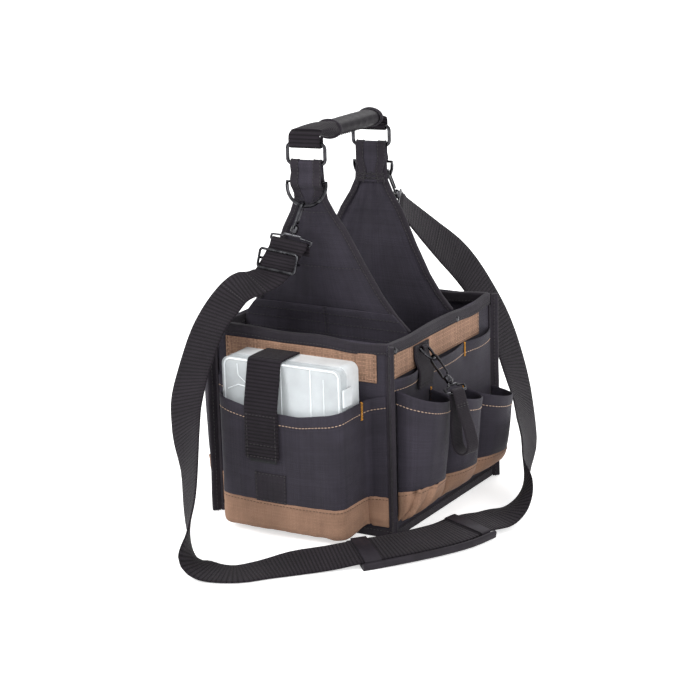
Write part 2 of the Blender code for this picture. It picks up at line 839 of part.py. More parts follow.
def build_parts_box():
    """A clear organiser: a tray with moulded dividers, a lid towards the front and a latch on its side."""
    foot = front_foot + cloth + gap
    back = -half_depth - gap - cloth
    front = back - parts_depth
    centre = (front_face_right - front_face_left) / 2
    low_x, high_x = centre - parts_width / 2, centre + parts_width / 2
    top = foot + parts_height
    seam = front + parts_lid_depth
    tray = boxes("parts_box_tray", [((low_x, seam + gap, foot), (high_x, back, top))], clear_plastic)
    bevel_upright(tray, parts_corner)
    cut = bmesh.new()
    columns = 4
    rows = 3
    inner_low = Vector((low_x + parts_wall * 2, seam - parts_wall, foot + parts_wall * 2))
    inner_high = Vector((high_x - parts_wall * 2, back - parts_wall, top - parts_wall * 2))
    cell_x = (inner_high.x - inner_low.x + parts_wall) / columns
    cell_z = (inner_high.z - inner_low.z + parts_wall) / rows
    for i in range(columns):
        for j in range(rows):
            low = Vector((inner_low.x + i * cell_x, inner_low.y, inner_low.z + j * cell_z))
            high = Vector((low.x + cell_x - parts_wall, inner_high.y, low.z + cell_z - parts_wall))
            add_box(cut, low, high)
    boolean(tray, from_bmesh("tray_cells", cut, clear_plastic), "DIFFERENCE")
    lid = boxes("parts_box_lid",
                [((low_x - parts_wall / 2, front, foot), (high_x + parts_wall / 2, seam, top))],
                clear_plastic)
    bevel_upright(lid, parts_corner)
    hollow = boxes("lid_hollow", [((low_x + parts_wall * 2, front + parts_wall, foot + parts_wall * 2),
                                   (high_x - parts_wall * 2, seam + parts_wall, top - parts_wall * 2))],
                   clear_plastic)
    boolean(lid, hollow, "DIFFERENCE")
    latch_low = front_lip + parts_wall
    latch = boxes("parts_box_latch",
                  [((high_x + parts_wall / 2 + gap, front + parts_wall, latch_low),
                    (high_x + parts_wall * 2 + gap, seam + parts_wall * 4, latch_low + parts_depth / 2))],
                  clear_plastic)
    bevel(latch, parts_wall / 3)


def bevel_upright(made, width):
    """Round the four edges that run front to back, written into the mesh before any cut."""
    built = bmesh.new()
    built.from_mesh(made.data)
    edges = [e for e in built.edges if abs((e.verts[0].co - e.verts[1].co).normalized().y) > 0.9]
    bmesh.ops.bevel(built, geom=edges, offset=width, segments=5, profile=0.5, affect="EDGES")
    built.to_mesh(made.data)
    built.free()


def build_box_strap():
    """Webbing that holds the parts box: from the front wall over its top and down to a pad on the pocket."""
    face = -half_depth - gap - front_bulge - cloth - gap
    wall_face = -half_depth - gap - tape - gap
    top = front_foot + cloth + gap + parts_height
    outside = face - patch_thickness - gap - webbing / 2
    half = box_strap_width / 2
    corner = 4 * webbing
    crown = top + gap + webbing / 2
    start = Vector((box_strap_centre, wall_face - webbing / 2, crown))
    lid_front = -half_depth - gap - cloth - parts_depth
    spots = [start, Vector((start.x, (start.y + lid_front) / 2, crown + webbing * 0.2))]
    bend = 2 * gap + webbing / 2
    for k in range(5):
        angle = turn / 4 * k / 4
        spots.append(Vector((start.x, lid_front - bend * math.sin(angle), top + bend * math.cos(angle))))
    spots.append(Vector((start.x, outside, front_lip - corner / 2)))
    spots.append(Vector((start.x, outside, (front_lip + box_strap_tail) / 2)))
    spots.append(Vector((start.x, outside, box_strap_tail)))
    wide = Vector((1, 0, 0))
    folded_strap("box_strap", spots, wide, half, webbing, binding)
    pad_half = half - 3 * tape
    low = box_strap_tail - 3 * tape
    boxes("box_strap_pad", [((box_strap_centre - pad_half, face - patch_thickness, low),
                             (box_strap_centre + pad_half, face, low + pad_patch_height))], black)
    hang("box_strap", start, ["box_strap"])


# Snap hooks

def hook_place(top, foot, lateral):
    """A frame whose Z runs up a hook from its barrel to its bend, with X across it."""
    axis = (top - foot).normalized()
    side = (lateral - axis * lateral.dot(axis)).normalized()
    third = axis.cross(side)
    turned_frame = Matrix((side, third, axis)).transposed().to_4x4()
    return Matrix.Translation(foot) @ turned_frame


def build_snap_hook(name, place, finish):
    """A wire snap hook: a bent hook on a barrel, a sprung gate and a swivelling eye below."""
    half = hook_half_width
    straight = hook_length - half
    spots = [Vector((-half * 0.55, 0, -hook_wire)), Vector((-half, 0, hook_barrel * 0.8)),
             Vector((-half, 0, straight * 0.6))]
    bend_steps = 8
    for k in range(bend_steps + 1):
        angle = math.pi - math.pi * k / bend_steps
        spots.append(Vector((half * math.cos(angle), 0, straight + half * math.sin(angle))))
    spots.append(Vector((half, 0, straight - gate_lap)))
    body = as_mesh(wire(f"{name}_snap_hook", [place @ s for s in spots], hook_wire, finish))
    outline = ((hook_barrel * 0.8, -hook_barrel_length), (hook_barrel, -hook_barrel_length * 0.8),
               (hook_barrel, -hook_barrel_length * 0.15), (hook_barrel * 0.7, hook_wire))
    barrel = turned(f"{name}_barrel", outline, finish, place, 16)
    boolean(body, barrel, "UNION")
    gate_foot = Vector((half, 0, hook_wire + 2 * gap))
    gate_top = Vector((half, 0, straight - gate_lap - gap))
    lug = Vector((hook_barrel * 0.6, 0, hook_wire + 2 * gap + hook_wire))
    gate_root = lug + (gate_foot - lug) * 0.35
    spots = [gate_root, gate_foot + up * hook_wire, gate_foot + up * 3 * hook_wire, gate_top]
    wire(f"{name}_hook_gate", [place @ s for s in spots], hook_wire * 0.8, finish)
    hang(f"{name}_gate", place @ gate_root, [f"{name}_hook_gate"])


def build_eye(name, place, bar_way, half, finish):
    """The hook's swivelling eye: a stud under the barrel and a wire loop whose bar holds the webbing."""
    start = -hook_barrel_length - gap
    neck = hook_wire * 2
    corner = hook_wire * 1.5
    axis = (place.to_3x3() @ Vector((0, 0, 1))).normalized()
    bar = place @ Vector((0, 0, start - neck - eye_drop))
    points = []
    for side, z_side, begin in ((1, 0, -turn / 4), (1, 1, 0), (-1, 1, turn / 4), (-1, 0, turn / 2)):
        level = corner + z_side * (eye_drop - 2 * corner)
        reach = half - corner if z_side == 0 else (half - corner) * 0.4
        arc = [(side * reach + corner * math.cos(begin + turn / 12 * k),
                level + corner * math.sin(begin + turn / 12 * k)) for k in range(4)]
        if z_side == 0:
            knee = (side * half, eye_drop * 0.62)
            arc = arc + [knee] if side == 1 else [knee] + arc
        points += [bar + bar_way * a + axis * b for a, b in arc]
    loop = as_mesh(wire(f"{name}_hook_eye", points, hook_wire, finish, closed=True))
    stud = turned(f"{name}_stud", ((hook_wire, start - neck), (hook_wire * 1.3, start)), finish, place, 12)
    boolean(loop, stud, "UNION")
    return bar, axis


def build_hook_set(name, grip, grip_radius, pull, wire_way, bar_way, half, finish):
    """A snap hook that hangs its bend across a wire at the grip point, with its gate and its eye below."""
    axis = -pull.normalized()
    lateral = wire_way.cross(axis)
    tilt = math.asin(abs(axis.dot(wire_way.normalized())))
    room = grip_radius / math.cos(tilt) + hook_wire * math.tan(tilt)
    seat = hook_length - hook_wire - gap - room
    place = hook_place(grip + axis, grip - axis * seat, lateral)
    build_snap_hook(name, place, finish)
    return place, build_eye(name, place, bar_way.normalized(), half, finish)


# Shoulder strap. Each row is a place in shares of half width, half depth and box height, then the direction
# across the strap, from its far edge to its near edge where it lies on the floor.
HANG_SHARES = 4
STRAP_SHARES = (
    (-0.190, -0.845, 1.410, (0.98, -0.12, -0.06)),
    (-0.255, -0.875, 1.356, (0.98, -0.16, -0.04)),
    (-0.320, -0.905, 1.302, (0.98, -0.20, -0.02)),
    (-0.440, -0.935, 1.245, (0.96, -0.26, -0.06)),
    (-0.680, -0.990, 1.200, (0.90, -0.36, -0.20)),
    (-0.80, -1.125, 1.110, (0.99, -0.12, 0.02)),
    (-0.87, -1.292, 1.005, (0.97, -0.10, 0.20)),
    (-0.91, -1.500, 0.820, (0.96, -0.24, 0.08)),
    (-0.88, -1.667, 0.698, (0.96, -0.28, 0.05)),
    (-0.81, -1.792, 0.586, (0.92, -0.38, 0.10)),
    (-0.64, -2.000, 0.450, (0.80, -0.54, 0.26)),
    (-0.51, -2.208, 0.280, (0.70, -0.64, 0.30)),
    (-0.41, -2.375, 0.158, (0.50, -0.80, 0.30)),
    (-0.33, -2.490, 0.063, (0.22, -0.95, 0.15)),
    (-0.14, -2.500, 0.014, (0.02, -1.00, 0.02)),
    (0.12, -2.420, 0.0062, (0.28, -0.96, 0.00)),
    (0.31, -2.230, 0.0090, (0.58, -0.81, -0.04)),
    (0.53, -2.017, 0.0230, (0.62, -0.77, -0.17)),
    (0.77, -1.800, 0.0300, (0.63, -0.76, -0.18)),
    (0.95, -1.640, 0.0420, (0.64, -0.75, -0.16)),
    (1.21, -1.365, 0.0480, (0.74, -0.66, -0.12)),
    (1.41, -1.070, 0.0480, (0.86, -0.50, -0.12)),
    (1.55, -0.800, 0.0480, (0.94, -0.32, -0.12)),
    (1.62, -0.500, 0.0460, (0.98, -0.20, -0.12)),
    (1.72, -0.290, 0.0360, (0.96, -0.28, -0.08)),
    (1.78, -0.140, 0.0500, (0.82, -0.56, 0.00)),
    (1.80, 0.030, 0.0800, (0.62, -0.76, 0.12)),
    (1.76, 0.260, 0.1260, (0.44, -0.86, 0.20)),
    (1.67, 0.470, 0.1850, (0.32, -0.91, 0.22)),
    (1.54, 0.750, 0.2650, (0.24, -0.93, 0.22)),
    (1.315, 1.150, 0.3500, (0.04, -0.93, 0.34)),
    (1.06, 1.420, 0.5400, (-0.08, -0.99, 0.08)),
    (0.90, 1.430, 0.7600, (-0.06, -0.99, -0.08)),
    (0.75, 1.370, 0.9250, (-0.04, -0.96, -0.26)),
    (0.61, 1.230, 1.0800, (0.00, -0.90, -0.42)),
    (0.50, 0.960, 1.2200, (0.16, -0.88, -0.40)),
    (0.29, 0.720, 1.3900, (0.42, -0.86, -0.28)),
)
STRAP_STEPS = 3
SLIDE_PLACE = 4
PAD_FIRST = 19
PAD_LAST = 23


def strap_end(eye, bar_way, out_side):
    """Stations of the strap's end folded over a hook's eye bar, from its short back leg to its front leg."""
    bar, axis = eye
    wide = bar_way.normalized()
    rise = (axis - wide * axis.dot(wide)).normalized()
    side = wide.cross(rise) * out_side
    reach = hook_wire + 2 * gap + strap_thickness / 2
    stations = [(bar - side * reach - rise * fold_length, wide)]
    for k in range(7):
        angle = math.pi - math.pi * k / 6
        stations.append((bar + side * (reach * math.cos(angle)) + rise * (reach * math.sin(angle)), wide))
    stations.append((bar + side * reach - rise * fold_length / 3, wide))
    return stations


def strap_route(near_end, far_end):
    """Stations of the strap between its two ends, which follow the hooks that they hang from."""
    size = Vector((half_width, half_depth, box_height))
    spots = [Vector((a * size.x, b * size.y, c * size.z)) for a, b, c, _ in STRAP_SHARES]
    wides = [Vector(row[3]).normalized() for row in STRAP_SHARES]
    near_shift = near_end - spots[0]
    far_shift = far_end - spots[-1]
    for k in range(HANG_SHARES):
        fade = 1 - k / HANG_SHARES
        spots[k] += near_shift * fade
        spots[-1 - k] += far_shift * fade
    return list(zip(smooth_route(spots, STRAP_STEPS), smooth_route(wides, STRAP_STEPS)))


def square_sections(stations, skewed):
    """Width and face directions along the route, square to it apart from the first, skewed stations."""
    centres = [s[0] for s in stations]
    wides, faces = [], []
    for i, (centre, wide) in enumerate(stations):
        before = centres[max(i - 1, 0)]
        after = centres[min(i + 1, len(centres) - 1)]
        along = (after - before).normalized()
        square = min(max((i - skewed) / skewed, 0), 1)
        chosen = (wide - along * wide.dot(along) * square).normalized()
        wides.append(chosen)
        faces.append(along.cross(chosen).normalized())
    return centres, wides, faces


def flatten(centres, wides, faces, index):
    """Lay the stations that pass the slide on one flat, straight run."""
    centre = centres[index]
    along = (centres[index + 1] - centres[index - 1]).normalized()
    faces[index] = along.cross(wides[index]).normalized()
    for way in (-1, 1):
        reach, other = 0, index
        while abs(reach) < slide_half_height + 2 * slide_wire:
            other += way
            reach = (centres[other] - centre).dot(along)
            centres[other] = centre + along * reach
            wides[other], faces[other] = wides[index], faces[index]


def build_shoulder_strap(near_fold, far_fold):
    """The clip-on strap: webbing folded over both hooks' eyes, with its slide near one end and its pad."""
    far_fold = list(reversed(far_fold))
    route = strap_route(near_fold[-1][0], far_fold[0][0])
    stations = near_fold[:-1] + route + far_fold[1:]
    centres, wides, faces = square_sections(stations, len(near_fold) + SLIDE_PLACE)
    flatten(centres, wides, faces, len(near_fold) - 1 + SLIDE_PLACE)
    halves = [strap_width / 2] * len(centres)
    loft("shoulder_strap", band(centres, wides, faces, strap_thickness, halves), binding)
    build_slide(centres, wides, faces, len(near_fold) - 1 + SLIDE_PLACE)
    first = len(near_fold) - 1 + PAD_FIRST * STRAP_STEPS
    last = len(near_fold) - 1 + PAD_LAST * STRAP_STEPS
    build_pad(centres[first:last + 1], wides[first:last + 1], faces[first:last + 1])


def build_slide(centres, wides, faces, index):
    """A wire slide: its frame lies on one side of the webbing and its middle bar on the other."""
    centre, wide, face = centres[index], wides[index], faces[index]
    along = wide.cross(face).normalized()
    lift = strap_thickness / 2 + slide_ease + slide_wire
    half = strap_width / 2 + gap * 2 + slide_wire
    corner = slide_wire * 2
    points = []
    for x_side, y_side, start in ((1, -1, -turn / 4), (1, 1, 0), (-1, 1, turn / 4), (-1, -1, turn / 2)):
        for k in range(4):
            angle = start + turn / 4 * k / 3
            x = x_side * (half - corner) + corner * math.cos(angle)
            y = y_side * (slide_half_height - corner) + corner * math.sin(angle)
            points.append(centre + wide * x + along * y + face * lift)
    frame = as_mesh(wire("slide_buckle", points, slide_wire, gunmetal, closed=True))
    bow = [(-half, lift), (-half, 0), (-half + corner / 2, -lift), (half - corner / 2, -lift), (half, 0),
           (half, lift)]
    bar_spots = [centre + wide * a + face * b for a, b in bow]
    middle = as_mesh(wire("slide_bar", bar_spots, slide_wire * 0.9, gunmetal))
    return boolean(frame, middle, "UNION")


def build_pad(centres, wides, faces):
    """The shoulder pad: a moulded base under the strap, with a thick near lip and two bridges over it."""
    under = -(strap_thickness / 2 + pad_ease)
    half = pad_width / 2
    faces = [face if face.z > 0 else -face for face in faces]
    lip = pad_lip - pad_base
    section = [(-half, under - pad_base), (half, under - pad_base), (half, under + lip),
               (half - lip, under + lip),
               (half - lip * 1.4, under), (-half + pad_base / 2, under), (-half, under - pad_base / 2)]
    rings = [[c + w * a + f * b for a, b in section] for c, w, f in zip(centres, wides, faces)]
    base = loft("shoulder_pad", rings, moulded)
    inner = strap_width / 2 + pad_ease
    outer = inner + tape
    sink = under - pad_base / 3
    roof = strap_thickness / 2 + pad_ease
    arch = [(-outer, sink), (-outer, roof + tape / 2), (-inner, roof + tape), (inner, roof + tape),
            (outer, roof + tape / 2), (outer, sink), (inner, sink), (inner, roof), (-inner, roof),
            (-inner, sink)]
    last = len(centres) - 1
    for name, indices in (("left_bridge", (0, 1)), ("right_bridge", (last - 1, last))):
        ends = []
        for i in indices:
            other = centres[min(i + 1, last)] if i < last else centres[i - 1]
            inset = (other - centres[i]).normalized() * tape
            spot = centres[i] + inset
            ends.append([spot + wides[i] * a + faces[i] * b for a, b in arch])
        boolean(base, loft(name, ends, moulded), "UNION")


def build_tape_strap():
    """The tape strap on the right wall: a sewn tab, its ring, a snap hook and a webbing loop."""
    sheet = half_width + gap + tape + gap
    low_y, high_y = tab_centre - tab_width / 2, tab_centre + tab_width / 2
    wall_x = sheet + webbing / 2
    lip_x = half_width + 2 * gap + cloth + sleeve_bulge * 0.75 + webbing / 2
    fall = tab_top - sleeve_lip
    path = [(wall_x, tab_top), (wall_x, sleeve_lip + fall * 0.45), (lip_x, sleeve_lip - webbing),
            (lip_x - webbing, tab_foot)]
    tab = folded_strap("tape_tab", [Vector((x, tab_centre, z)) for x, z in path], Vector((0, 1, 0)),
                       tab_width / 2, webbing, binding)
    keeper_half = tab_width / 7
    reach = ring_bar + gap
    bar = Vector((sheet + webbing + reach, tab_centre, tab_top - keeper_half))
    keeper = boxes("tab_keeper", [((sheet + webbing / 2, tab_centre - keeper_half, bar.z - reach - webbing),
                                   (bar.x + reach + tape, tab_centre + keeper_half,
                                    bar.z + reach + webbing))],
                   binding)
    boolean(tab, keeper, "UNION")
    bore = boxes("keeper_bore", [((bar.x - reach, low_y, bar.z - reach),
                                  (bar.x + reach, high_y, bar.z + reach))], binding)
    boolean(tab, bore, "DIFFERENCE")
    down = Vector((math.sin(tape_lean), 0, -math.cos(tape_lean)))
    lateral = Vector((math.cos(tape_lean), 0, math.sin(tape_lean)))
    half = keeper_half + 2 * ring_bar
    drop = half * 1.7
    points = [bar + Vector((0, half, 0))]
    steps = 10
    for k in range(steps + 1):
        angle = math.pi * k / steps
        points.append(bar + Vector((0, half * math.cos(angle), 0))
                      + down * (2 * ring_bar + drop * math.sin(angle)))
    points.append(bar - Vector((0, half, 0)))
    wire("tape_ring", points, ring_bar, gunmetal, closed=True)
    grip = bar + down * (2 * ring_bar + drop)
    heading = Vector((math.cos(tape_heading), -math.sin(tape_heading), 0))
    bar_way = Vector((math.sin(tape_heading), math.cos(tape_heading), 0))
    pull = heading * math.sin(tape_lean) - up * math.cos(tape_lean)
    eye_half = loop_width / 2 + 2 * hook_wire
    _, (eye, _) = build_hook_set("tape", grip, ring_bar, pull, bar_way, bar_way, eye_half, gunmetal)
    build_tape_loop(eye, heading, bar_way)
    hang("tape_loop", eye, ["tape_loop"])
    hang("tape_hook", bar, ["tape_ring", "tape_snap_hook", "tape_hook_eye", "tape_gate_joint",
                            "tape_loop_joint"])


def build_tape_loop(eye, heading, wide):
    """A teardrop of webbing that hangs from the tape hook's eye and leans on the pocket below."""
    reach = hook_wire + gap + webbing / 2
    down = heading * math.sin(loop_lean) - up * math.cos(loop_lean)
    out = heading * math.cos(loop_lean) + up * math.sin(loop_lean)
    spots = []
    for k in range(9):
        angle = math.pi / 12 + math.pi * 5 / 6 * k / 8
        spots.append((reach * math.cos(angle), -reach * math.sin(angle)))
    side = [(-reach * 1.05, reach), (-loop_half_depth * 0.45, loop_length * 0.3),
            (-loop_half_depth * 0.85, loop_length * 0.6)]
    round_part = []
    for k in range(9):
        angle = math.pi - math.pi * k / 8
        round_part.append((loop_half_depth * math.cos(angle),
                           loop_length - loop_half_depth + loop_half_depth * math.sin(angle)))
    spots += side + round_part + [(-a, b) for a, b in reversed(side)]
    points = [eye + out * a + down * b for a, b in spots]
    count = len(points)
    rings = []
    for i, point in enumerate(points):
        along = (points[(i + 1) % count] - points[i - 1]).normalized()
        face = along.cross(wide).normalized()
        rings += band([point], [wide], [face], webbing, [loop_width / 2])
    closed_loft("tape_loop", rings, binding)


# Directions in which the shoulder strap pulls its two hooks, and the directions of their eyes' bars
NEAR_PULL = (-0.36, -0.02, -0.93)
NEAR_BAR_WAY = (0.985, -0.12, -0.06)
FAR_PULL = (0.08, 0.45, -0.89)
FAR_BAR_WAY = (0.42, -0.86, -0.28)


def build_straps():
    """Both snap hooks on the D-rings, and the strap between them."""
    eye_half = strap_width / 2 + 2 * hook_wire
    near_grip, near_way = d_grip(near_bar, near_lean, 1, near_hook_angle)
    near_place, near_eye = build_hook_set("near", near_grip, d_wire, Vector(NEAR_PULL), near_way,
                                          Vector(NEAR_BAR_WAY), eye_half, gunmetal)
    far_grip, far_way = d_grip(far_bar, far_lean, -1, far_hook_angle)
    far_place, far_eye = build_hook_set("far", far_grip, d_wire, Vector(FAR_PULL), far_way,
                                        Vector(FAR_BAR_WAY), eye_half, gunmetal)
    hang("near_hook", near_place.translation, ["near_snap_hook", "near_gate_joint"])
    hang("far_hook", far_place.translation, ["far_snap_hook", "far_gate_joint"])
    build_shoulder_strap(strap_end(near_eye, Vector(NEAR_BAR_WAY), 1),
                         strap_end(far_eye, Vector(FAR_BAR_WAY), -1))


def main():
    build_walls()
    build_rim_tape()
    build_corner_welts()
    build_bands()
    build_front_pocket()
    build_side_pockets()
    build_back_pocket()
    build_yoke("near", -near_yoke_foot, near_bar, near_lean, 1, near_tongue_length)
    build_yoke("far", far_yoke_foot, far_bar, far_lean, -1, far_tongue_length)
    build_yoke_pocket("near", -near_yoke_foot, near_bar, 1, yoke_pocket_lip)
    rectangle_ring("near_rectangle_ring", near_bar, gunmetal)
    rectangle_ring("far_rectangle_ring", far_bar, gunmetal)
    d_ring("near_d_ring", near_bar, near_lean, 1, gunmetal)
    d_ring("far_d_ring", far_bar, far_lean, -1, gunmetal)
    build_handle()
    hang("near_ring", near_bar, ["near_rectangle_ring", "handle_joint"])
    hang("far_ring", far_bar, ["far_rectangle_ring"])
    build_parts_box()
    build_box_strap()
    build_tape_strap()
    build_straps()


clear_scene()
carrier = make_collection("tool_carrier")
cutters = make_collection("cutters")
black = material("black polyester", BLACK, 0.85)
binding = material("black binding", BINDING, 0.8)
tan = material("tan weave", TAN, 0.9)
leather = material("wrapped grip", BLACK, 0.5)
clear_plastic = material("clear plastic", CLEAR, 0.25, 0.0, 0.45)
gunmetal = material("gunmetal wire", GUNMETAL, 0.3, 1.0)
moulded = material("moulded pad", MOULDED, 0.55)
main()
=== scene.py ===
"""Looks of the tool carrier: cloth, webbing, stitching, clear plastic and dark metal."""
import math

import bmesh
import bpy
import numpy as np
from bpy.props import FloatProperty, FloatVectorProperty, PointerProperty
from mathutils import Matrix, Vector, noise


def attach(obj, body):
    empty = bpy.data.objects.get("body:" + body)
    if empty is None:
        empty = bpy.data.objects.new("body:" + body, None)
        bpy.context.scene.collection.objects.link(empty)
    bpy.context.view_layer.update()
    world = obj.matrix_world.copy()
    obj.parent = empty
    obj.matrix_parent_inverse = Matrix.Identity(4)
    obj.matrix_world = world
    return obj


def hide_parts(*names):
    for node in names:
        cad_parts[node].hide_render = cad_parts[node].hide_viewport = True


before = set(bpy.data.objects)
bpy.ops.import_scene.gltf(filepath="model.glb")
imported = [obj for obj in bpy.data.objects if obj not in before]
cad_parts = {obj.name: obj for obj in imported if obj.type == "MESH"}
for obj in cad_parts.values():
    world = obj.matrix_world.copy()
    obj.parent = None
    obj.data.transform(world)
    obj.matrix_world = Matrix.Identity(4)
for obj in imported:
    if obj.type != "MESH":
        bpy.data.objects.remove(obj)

bl_info = {
    "name": "Tool carrier looks",
    "version": (1, 0, 0),
    "blender": (4, 5, 0),
    "location": "View3D > Sidebar > Carrier",
    "description": "Dresses the packed tool carrier in cloth, webbing, plastic and metal",
    "category": "Object",
}

# Sizes of the frame that these pieces dress, in metres, as the CAD has them
box_width = 0.226
box_depth = 0.240
box_height = 0.222
wall_thickness = 0.004
base_thickness = 0.005
gap = 0.0003
cloth = 0.0018
tape = 0.0016
webbing = 0.0024
rim_tape_drop = 0.012
welt_reach = 0.0105
welt_thickness = 0.0046
base_band_height = 0.0105
contrast_height = 0.031
contrast_clear = 0.0008
front_bulge = 0.050
front_face_left = 0.080
front_face_right = 0.079
front_wing = 0.1075
front_lip = 0.156
front_seam = 0.043
front_foot = 0.0135
side_bulge = 0.040
left_side_bulge = 0.030
side_foot = 0.0205
side_lip_front = 0.171
side_lip_back = 0.112
side_seam = 0.052
sleeve_lip = 0.182
sleeve_foot = 0.024
sleeve_bulge = 0.0085
back_bulge = 0.014
back_lip = 0.150
back_seam = 0.043
yoke_thickness = 0.0026
yoke_binding_width = 0.008
near_yoke_foot = 0.060
far_yoke_foot = 0.042
near_bar_reach = 0.094
far_bar_reach = 0.050
near_bar_height = 0.408
far_bar_height = 0.403
yoke_twist = 0.20
neck_half_width = 0.018
neck_panel_drop = 0.010
yoke_pocket_lip = 0.240
near_tongue_length = 0.044
far_tongue_length = 0.030
sleeve_back_length = 0.042
d_bar_drop = 0.020
ring_wire = 0.0022
ring_pitch = 0.022
d_wire = 0.0020
d_half_width = 0.0225
d_tilt = 0.20
grip_length = 0.094
grip_half_width = 0.0140
grip_half_height = 0.0098
grip_rise = 0.0115
grip_offset = 0.004
handle_arch = 0.0155
bunched_half_width = 0.0115
parts_width = 0.150
parts_height = 0.184
parts_depth = 0.040
parts_corner = 0.009
box_strap_width = 0.043
box_strap_centre = -0.020
box_strap_tail = 0.091
pad_patch_height = 0.058
patch_thickness = 0.0009
hook_wire = 0.0014
hook_length = 0.0300
hook_barrel_length = 0.0075
eye_drop = 0.0092
strap_width = 0.050
strap_thickness = 0.0022
slide_wire = 0.0016
slide_half_height = 0.0105
fold_length = 0.012
pad_width = 0.066
pad_base = 0.0042
pad_lip = 0.0085
pad_ease = 0.0008
tab_width = 0.034
tab_centre = -0.0545
tab_top = 0.2085
tab_foot = 0.1600
loop_width = 0.024
loop_length = 0.070
loop_half_depth = 0.012
loop_lean = 0.20
tape_lean = 0.85
tape_heading = 0.30
ring_bar = 0.0015
near_hook_angle = 1.75
far_hook_angle = 0.60
seam_inset = 0.0022
swell_frames = 20
sensor_width = 36
photo_focal = 2400
photo_width = 700
camera_place = (1.331, -2.292, 0.930)
camera_angles = (30.265, 15.951, 1.576)
corners = (("front_left", -1, -1), ("front_right", 1, -1), ("back_right", 1, 1), ("back_left", -1, 1))

half_width = box_width / 2
half_depth = box_depth / 2
near_bar = Vector((0, -near_bar_reach, near_bar_height))
far_bar = Vector((0, far_bar_reach, far_bar_height))
across = Vector((math.cos(yoke_twist), math.sin(yoke_twist), 0))
facing = Vector((math.sin(yoke_twist), -math.cos(yoke_twist), 0))
up = Vector((0, 0, 1))
turn = math.tau
near_lean = (near_bar_reach - near_yoke_foot) / (near_bar_height - box_height)
far_lean = (far_bar_reach - far_yoke_foot) / (far_bar_height - box_height)

finishes = {}
threads = {}
tacks = []


def length(name, default, note):
    """A length in metres that a user may change."""
    return FloatProperty(name=name, default=default, description=note, min=0, precision=5, subtype="DISTANCE",
                         unit="LENGTH")


def tone(name, default, note):
    """A linear colour that a user may change."""
    return FloatVectorProperty(name=name, default=default, description=note, min=0, max=1, subtype="COLOR")


class CarrierSizes(bpy.types.PropertyGroup):
    """Sizes of the cloth's detail."""
    grid_step: length("Grid step", 0.0026, "Spacing of the points on a cloth")
    weave_pitch: length("Black weave", 0.0012, "Distance between two threads of the black cloth")
    tan_pitch: length("Tan weave", 0.0021, "Distance between two threads of the tan bands")
    rib_pitch: length("Webbing rib", 0.0041, "Distance between two ribs of the webbing")
    fold_depth: length("Fold depth", 0.0016, "How far soft folds stand off a pocket")
    hem_width: length("Hem width", 0.0135, "Height of the hem at a pocket's mouth")
    hem_rise: length("Hem rise", 0.0005, "How much thicker a hem is")
    stitch_pitch: length("Stitch pitch", 0.0042, "Distance between two stitches")
    stitch_length: length("Stitch length", 0.0031, "Length of one stitch")
    thread_radius: length("Thread radius", 0.00050, "Radius of the sewing thread")
    tack_length: length("Bar tack length", 0.019, "Length of an orange bar tack")
    tack_width: length("Bar tack width", 0.0024, "Width of an orange bar tack")
    rivet_radius: length("Rivet radius", 0.0036, "Radius of a domed rivet")


class CarrierColours(bpy.types.PropertyGroup):
    """Colours of the materials."""
    black: tone("Black cloth", (0.0300, 0.0255, 0.0375), "Walls, pockets and yokes")
    binding: tone("Binding", (0.0200, 0.0160, 0.0225), "Tapes over the raw edges")
    webbing: tone("Webbing", (0.0180, 0.0140, 0.0190), "Handle and straps")
    tan: tone("Tan cloth", (0.320, 0.188, 0.126), "Bands and skirts")
    thread_tan: tone("Tan thread", (0.56, 0.39, 0.28), "Stitches along the pockets' mouths")
    thread_orange: tone("Orange thread", (0.80, 0.34, 0.02), "Bar tacks")
    thread_dark: tone("Dark thread", (0.018, 0.016, 0.018), "Stitches on black cloth")
    thread_brown: tone("Brown thread", (0.10, 0.055, 0.034), "Stitches on tan cloth")
    metal: tone("Dark metal", (0.020, 0.019, 0.022), "Rings, hooks, slide and rivets")
    plastic: tone("Clear plastic", (0.93, 0.975, 1.0), "Parts box")


def sizes():
    return bpy.context.scene.carrier_sizes


def colours():
    return bpy.context.scene.carrier_colours


# Shader groups

def new_group(name, kind, inputs, outputs):
    """An empty node group with its sockets, its input node and its output node."""
    group = bpy.data.node_groups.new(name, kind)
    for label, socket, default in inputs:
        made = group.interface.new_socket(label, in_out="INPUT", socket_type=socket)
        if default is not None:
            made.default_value = default
    for label, socket in outputs:
        group.interface.new_socket(label, in_out="OUTPUT", socket_type=socket)
    return group, group.nodes.new("NodeGroupInput"), group.nodes.new("NodeGroupOutput")


def math_node(group, operation, first, second=None):
    """A Math node whose inputs are sockets or numbers."""
    node = group.nodes.new("ShaderNodeMath")
    node.operation = operation
    for index, value in enumerate((first, second)):
        if value is None:
            continue
        if isinstance(value, (int, float)):
            node.inputs[index].default_value = value
        else:
            group.links.new(value, node.inputs[index])
    return node.outputs[0]


def join(tree, *pairs):
    """Link each pair of an output and an input."""
    for start, end in pairs:
        tree.links.new(start, end)


def scaled(group, colour, amount):
    """A colour made darker or brighter."""
    node = group.nodes.new("ShaderNodeVectorMath")
    node.operation = "SCALE"
    join(group, (colour, node.inputs[0]), (amount, node.inputs["Scale"]))
    return node.outputs[0]


def mix_colour(group, factor, first, second):
    """A colour mix; each input is a socket or a colour."""
    node = group.nodes.new("ShaderNodeMix")
    node.data_type = "RGBA"
    for socket, value in ((node.inputs["Factor"], factor), (node.inputs[6], first), (node.inputs[7], second)):
        if isinstance(value, (int, float)):
            socket.default_value = value
        elif isinstance(value, tuple):
            socket.default_value = (*value[:3], 1)
        else:
            group.links.new(value, socket)
    return node.outputs[2]


